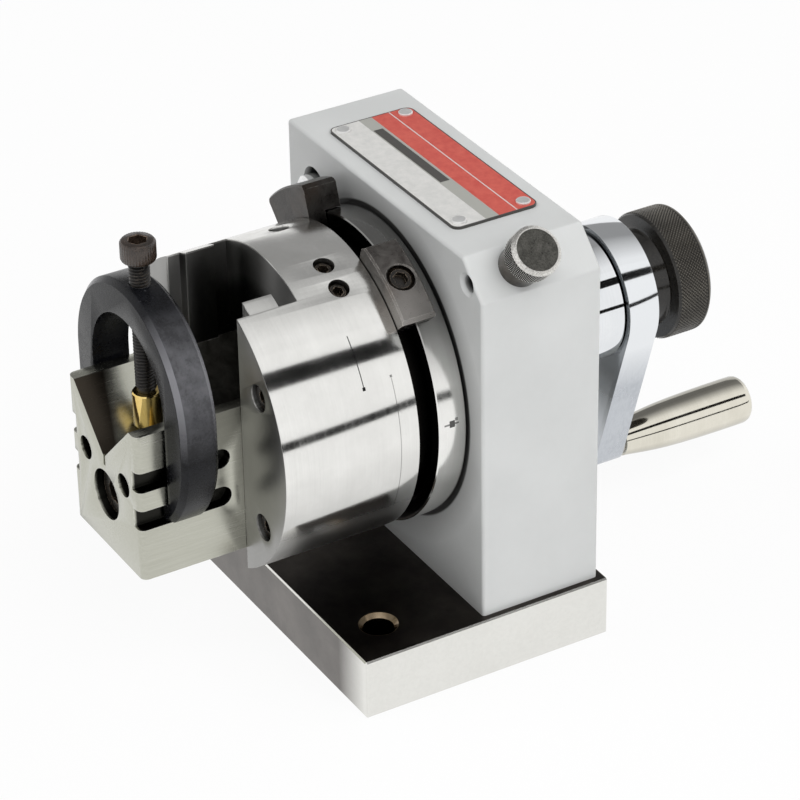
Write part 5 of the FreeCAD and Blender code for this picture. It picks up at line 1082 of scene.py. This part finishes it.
def make_clamp_screw():
    teeth = 36
    outline = []
    for i in range(teeth * 2):
        angle = math.pi * i / teeth
        radius = CLAMP_HEAD_RADIUS if i % 2 else CLAMP_HEAD_RADIUS - 0.18
        outline.append(Vector((radius * math.cos(angle), YOKE_Y + radius * math.sin(angle), CLAMP_HEAD_Z)) * MM)
    head = trace("clamp_screw_head", outline)
    close_chain(head)
    bpy.ops.mesh.edge_face_add()
    centre = (0, YOKE_Y * MM, 0)
    steps = ((0.7, 1.0 / 0.93), (3.9, 1.0), (0.7, 1.0), (0.7, 0.9))
    bpy.ops.transform.resize(value=(0.93, 0.93, 1), center_override=centre)
    for rise, share in steps:
        bpy.ops.mesh.extrude_region_move(TRANSFORM_OT_translate={"value": (0, 0, rise * MM)})
        bpy.ops.transform.resize(value=(share, share, 1), center_override=centre)
    bpy.ops.mesh.select_all(action="SELECT")
    bpy.ops.mesh.normals_make_consistent(inside=False)
    bpy.ops.object.mode_set(mode="OBJECT")
    cut(head, [hexagon(4.8, YOKE_Y, 133.8, 139)])
    soften(head, 0.08, 1)
    place_piece(head, "head", "clamp_screw", "black_oxide", "clamp_screw")

    clear_selection()
    pitch = 1.0
    low = 91.0
    turns = 38
    tooth = ((2.45, 0, 0), (2.95, 0, 0.42), (2.95, 0, 0.58), (2.45, 0, pitch))
    thread = trace("clamp_screw_thread", [Vector(point) * MM for point in tooth])
    bpy.ops.object.mode_set(mode="OBJECT")
    modifier = thread.modifiers.new("thread", "SCREW")
    modifier.axis = "Z"
    modifier.angle = 2 * math.pi
    modifier.screw_offset = pitch * MM
    modifier.iterations = turns
    modifier.steps = modifier.render_steps = 28
    modifier.use_merge_vertices = True
    modifier.merge_threshold = 0.005 * MM
    finish_modifier(thread, modifier)
    thread.location = (0, YOKE_Y * MM, low * MM)
    pick(thread)
    bpy.ops.object.transform_apply(location=True, rotation=True, scale=True)
    close_open_ends(thread)
    soften(thread, 0.0)
    place_piece(thread, "thread", "clamp_screw", "black_oxide")

    core = [(0, 83.95), (2.0, 83.95), (2.0, 90.45), (2.5, 90.5), (2.5, 131.3), (0, 131.3)]
    shank = turned("clamp_screw_core", core, (0, 0, 1), (0, YOKE_Y, 0), 40)
    soften(shank, 0.0)
    place_piece(shank, "thread", "clamp_screw", "black_oxide")


def close_open_ends(piece):
    """Fill the open ends of a tube, with its faces turned outwards."""
    pick(piece)
    bpy.ops.object.mode_set(mode="EDIT")
    bpy.ops.mesh.select_all(action="SELECT")
    bpy.ops.mesh.remove_doubles(threshold=0.005 * MM)
    bpy.ops.mesh.select_all(action="DESELECT")
    bpy.ops.mesh.select_mode(type="EDGE")
    bpy.ops.mesh.select_non_manifold()
    bpy.ops.mesh.fill_holes(sides=0)
    bpy.ops.mesh.select_all(action="SELECT")
    bpy.ops.mesh.normals_make_consistent(inside=False)
    bpy.ops.object.mode_set(mode="OBJECT")


def hexagon(flats, y, z0, z1):
    """Upright six-sided bar."""
    clear_selection()
    bpy.ops.mesh.primitive_cylinder_add(
        vertices=6,
        radius=flats / math.sqrt(3) * MM,
        depth=(z1 - z0) * MM,
        location=(0, y * MM, (z0 + z1) / 2 * MM),
    )
    return settle("hexagon")


def make_brass_tip():
    profile = [
        (0, 79.9), (3.6, 79.9), (4.0, 80.05), (4.1, 80.3), (4.1, 89.9), (3.8, 90.3), (3.3, 90.4),
        (2.05, 90.4), (2.05, 83.9), (0, 83.9),
    ]
    tip = turned("tip_of_screw", profile, (0, 0, 1), (0, YOKE_Y, 0), 72)
    soften(tip, 0.0)
    place_piece(tip, "brass", "tip", "brass", "brass_tip")


def make_plunger_knob():
    bottom = KNOB_TOP - KNOB_HEIGHT
    depth = KNURL_FINE
    base = KNOB_RADIUS - depth
    rows = 6
    low, high = bottom + 0.5, KNOB_TOP - KNOB_EDGE_BREAK - 0.25
    band = [(base, low + (high - low) * i / rows) for i in range(rows + 1)]
    profile = [(0.0, KNOB_TOP - 0.4), (2.0, KNOB_TOP - 0.4), (2.0, KNOB_TOP - 1.6), (6.3, KNOB_TOP - 1.6)]
    profile += [(6.3, bottom), (base - 0.4, bottom)] + band
    profile += [(KNOB_RADIUS - 0.12, high + 0.12), (KNOB_RADIUS, high + 0.25)]
    profile += [(KNOB_RADIUS - KNOB_EDGE_BREAK, KNOB_TOP)]
    profile += [(2.0, KNOB_TOP), (0.0, KNOB_TOP)]
    axis = (math.sqrt(0.5), 0, math.sqrt(0.5))
    knob = turned("plunger_grip", profile, axis, (0, PLUNGER_Y, SPINDLE_Z), 48)
    along = Vector(axis)
    origin = Vector((0, PLUNGER_Y, SPINDLE_Z)) * MM

    def on_band(centre, normal):
        place = (centre - origin).dot(along) / MM
        out = ((centre - origin) - along * (centre - origin).dot(along)).length / MM
        return low < place < high and out > base - 0.35 and abs(normal.dot(along)) < 0.2

    knurl(knob, on_band, depth)
    soften(knob, 0.0)
    place_piece(knob, "knob", "plunger", "black_oxide", "plunger_knob")


def make_nut():
    depth = KNURL_COARSE
    base = NUT_RADIUS - depth
    front, neck_end = NUT_FRONT_Y, NUT_FRONT_Y + NUT_NECK_LENGTH
    low, high = neck_end + 0.7, NUT_REAR_Y - 1.6
    rows = 9
    band = [(base, low + (high - low) * i / rows) for i in range(rows + 1)]
    profile = [(6.05, front), (14.0, front), (14.5, front + 0.5), (14.5, neck_end - 1.0)]
    profile += [(14.8, neck_end - 0.3), (15.5, neck_end), (17.6, neck_end), (18.6, neck_end + 0.15)] + band
    profile += [(NUT_RADIUS - 0.1, high + 0.25), (NUT_RADIUS - 0.15, high + 0.6), (18.0, NUT_REAR_Y)]
    profile += [(7.6, NUT_REAR_Y), (6.05, NUT_REAR_Y - 1.5)]
    nut = turned("nut_grip", profile, steps=104, hollow=True)

    def on_band(centre, normal):
        out = math.hypot(centre.x / MM, centre.z / MM - SPINDLE_Z)
        return low < centre.y / MM < high and out > base - 0.3 and abs(normal.y) < 0.2

    knurl(nut, on_band, depth)
    soften(nut, 0.0)
    place_piece(nut, "nut", "nut", "black_nut", "knurled_nut")


def make_crank_arm():
    y0, y1 = ARM_FRONT_Y, ARM_REAR_Y
    hub, end = ARM_HUB_RADIUS, ARM_TIP_RADIUS
    length = math.hypot(ARM_END[0], SPINDLE_Z - ARM_END[1])
    lean = math.degrees(math.asin((hub - end) / length))
    tilt = math.degrees(math.atan2(ARM_END[0], ARM_END[1] - SPINDLE_Z))
    right = tilt - 90 + lean
    left = tilt + 90 - lean
    outline = arc(0, SPINDLE_Z, hub, left, right + 360, 88)
    outline += arc(ARM_END[0], ARM_END[1], end, right, left, 28)
    arm = slab("crank_web", outline, y0, y1)
    cut(
        arm,
        [
            bar(7.0, (0, y0 - 2, SPINDLE_Z), (0, y1 + 2, SPINDLE_Z)),
            bar(3.5, (ARM_END[0], y0 - 2, ARM_END[1]), (ARM_END[0], y1 + 2, ARM_END[1])),
            brick(-2, 2, y0 - 1, y1 + 1, SPINDLE_Z + 5, SPINDLE_Z + 9),
        ],
    )
    soften(arm, 0.7, 3)
    place_piece(arm, "arm", "spindle", "satin_steel", "crank_arm")


def make_handle():
    y0, length = HANDLE_FRONT_Y, HANDLE_LENGTH
    stations = (
        (5.2, 0.0), (5.45, 2.0), (5.8, 4.5), (6.2, 7.5), (6.6, 11.0), (6.95, 15.0), (7.2, 20.0), (7.38, 26.0),
        (7.48, 33.0), (7.5, 40.0), (7.48, 43.0), (7.2, 44.1), (6.7, 44.75), (6.0, 45.0), (4.4, 45.0),
    )
    profile = [(3.55, y0), (4.9, y0)]
    profile += [(radius, y0 + 0.2 + (length - 0.2) * place / length) for radius, place in stations]
    profile += [(4.4, 118.6), (3.55, 118.6)]
    handle = turned("crank_grip", profile, centre=(ARM_END[0], 0, ARM_END[1]), steps=96, hollow=True)
    soften(handle, 0.0)
    place_piece(handle, "nickel", "handle", "nickel_plate", "crank_handle")


# Stage: pale floor, soft studio lights and the camera of the photograph


def seen_share(tree, share):
    """Share for rays that look at the background: camera, glossy and transmission rays."""
    rays = tree.nodes.new("ShaderNodeLightPath").outputs
    kinds = [rays["Is Camera Ray"], rays["Is Glossy Ray"], rays["Is Transmission Ray"]]
    total = kinds[0]
    for kind in kinds[1:]:
        node = tree.nodes.new("ShaderNodeMath")
        node.operation = "MAXIMUM"
        tree.links.new(total, node.inputs[0])
        tree.links.new(kind, node.inputs[1])
        total = node.outputs[0]
    node = tree.nodes.new("ShaderNodeMath")
    node.operation = "MULTIPLY"
    tree.links.new(total, node.inputs[0])
    node.inputs[1].default_value = share
    return node.outputs[0]


def make_floor():
    clear_selection()
    bpy.ops.mesh.primitive_plane_add(size=6.0, location=(0, 0, -0.0002))
    floor = settle("floor")
    f = Finish("floor_white")
    color = f.blend(f.ranged(f.noise(6.0, 2.0), 0.3, 0.7), (0.90, 0.90, 0.90, 1), (0.93, 0.93, 0.93, 1))
    f.set(color=color, rough=0.6)
    glow = f.add("ShaderNodeEmission", {"Color": (1, 1, 1, 1), "Strength": 1.0})
    share = seen_share(f.tree, 0.92)
    mix = f.add("ShaderNodeMixShader", {0: share, 1: f.shader.outputs[0], 2: glow.outputs[0]})
    f.tree.links.new(mix.outputs[0], f.tree.nodes["Material Output"].inputs["Surface"])
    floor.data.materials.append(f.material)


def add_card(name, place, turn, size, shades, span=(0.0, 1.0)):
    """Studio card that shows only in reflections, turned about Y and shaded from one X to another."""
    clear_selection()
    bpy.ops.mesh.primitive_plane_add(size=1.0, location=place, rotation=(0, math.radians(turn), 0))
    bpy.context.active_object.scale = (*size, 1)
    card = settle(name)
    f = Finish(name)
    shade = f.ranged(f.split()[0], *span, *shades)
    glow = f.add("ShaderNodeEmission", {"Color": (1, 1, 1, 1), "Strength": shade})
    f.tree.links.new(glow.outputs[0], f.tree.nodes["Material Output"].inputs["Surface"])
    f.tree.nodes.remove(f.shader)
    card.data.materials.append(f.material)
    card.visible_camera = False
    card.visible_diffuse = False
    card.visible_shadow = False
    card.visible_transmission = False


def add_light(name, place, target, size, power):
    lamp = bpy.data.lights.new(name, "AREA")
    lamp.shape = "RECTANGLE"
    lamp.size, lamp.size_y = size
    lamp.energy = power
    obj = bpy.data.objects.new(name, lamp)
    bpy.context.scene.collection.objects.link(obj)
    direction = Vector(target) - Vector(place)
    obj.visible_glossy = False
    obj.matrix_world = Matrix.Translation(place) @ direction.to_track_quat("-Z", "Y").to_matrix().to_4x4()


def make_world():
    world = bpy.data.worlds.new("studio")
    bpy.context.scene.world = world
    world.use_nodes = True
    tree = world.node_tree
    surface = tree.nodes["Background"]
    surface.inputs["Color"].default_value = (1, 1, 1, 1)
    surface.inputs["Strength"].default_value = 0.26
    shown = tree.nodes.new("ShaderNodeBackground")
    shown.inputs["Color"].default_value = (1, 1, 1, 1)
    shown.inputs["Strength"].default_value = 1.0
    mix = tree.nodes.new("ShaderNodeMixShader")
    tree.links.new(seen_share(tree, 1.0), mix.inputs[0])
    tree.links.new(surface.outputs[0], mix.inputs[1])
    tree.links.new(shown.outputs[0], mix.inputs[2])
    tree.links.new(mix.outputs[0], tree.nodes["World Output"].inputs["Surface"])


CAMERA_TURN = 60.0036
CAMERA_TILT = 31.3367
CAMERA_ROLL = -1.03909
CAMERA_RIGHT_SHIFT = 3.3271
CAMERA_UP_SHIFT = 53.7024
CAMERA_DISTANCE = 1069.718
CAMERA_LENS = 163.18
CAMERA_FRAME_Y = -0.5


def make_camera():
    turn, tilt, roll = (math.radians(a) for a in (CAMERA_TURN, CAMERA_TILT, CAMERA_ROLL))
    level = Vector((math.cos(turn), math.sin(turn), 0))
    away = Vector((-math.sin(turn) * math.cos(tilt), math.cos(turn) * math.cos(tilt), -math.sin(tilt)))
    upright = level.cross(away)
    right = level * math.cos(roll) + upright * math.sin(roll)
    up = upright * math.cos(roll) - level * math.sin(roll)
    spot = right * CAMERA_RIGHT_SHIFT + up * CAMERA_UP_SHIFT - away * CAMERA_DISTANCE
    spot = (spot + Vector((0, CAMERA_FRAME_Y, 0))) * MM
    data = bpy.data.cameras.new("camera")
    data.lens = CAMERA_LENS
    data.sensor_width = 36.0
    data.sensor_fit = "HORIZONTAL"
    data.clip_start = 0.05
    data.clip_end = 20.0
    camera = bpy.data.objects.new("camera", data)
    bpy.context.scene.collection.objects.link(camera)
    camera.matrix_world = Matrix.Translation(spot) @ Matrix((right, up, -away)).transposed().to_4x4()
    bpy.context.scene.camera = camera


def main():
    dress_cad_nodes()
    make_chuck()
    make_stop_ring()
    make_rear_sleeve()
    make_v_block()
    make_yoke()
    make_clamp_screw()
    make_brass_tip()
    make_plunger_knob()
    make_nut()
    make_crank_arm()
    make_handle()
    make_floor()
    make_world()
    add_light("key", (1.35, -0.05, 1.45), (0, 0, 0.06), (1.5, 1.5), 27.0)
    add_light("fill", (-0.5, -1.2, 1.7), (0, -0.03, 0.08), (0.8, 0.8), 11.5)
    add_light("back", (0.2, 1.6, 1.3), (0, 0.05, 0.06), (1.6, 0.8), 7.0)
    add_card("upper_card", (0.85, 0.35, 0.83), 48.0, (0.25, 1.8), (0.01, 0.01))
    add_card("lower_card", (0.435, 0.2, 0.057), 90.0, (0.045, 1.2), (0.01, 0.01))
    add_card("top_card", (-2.5, 0.5, 1.6), 0.0, (6.8, 4.0), (0.32, 0.95), (-0.7, 0.6))
    make_camera()
    bpy.context.scene.view_settings.view_transform = "Standard"


main()
clear_selection()
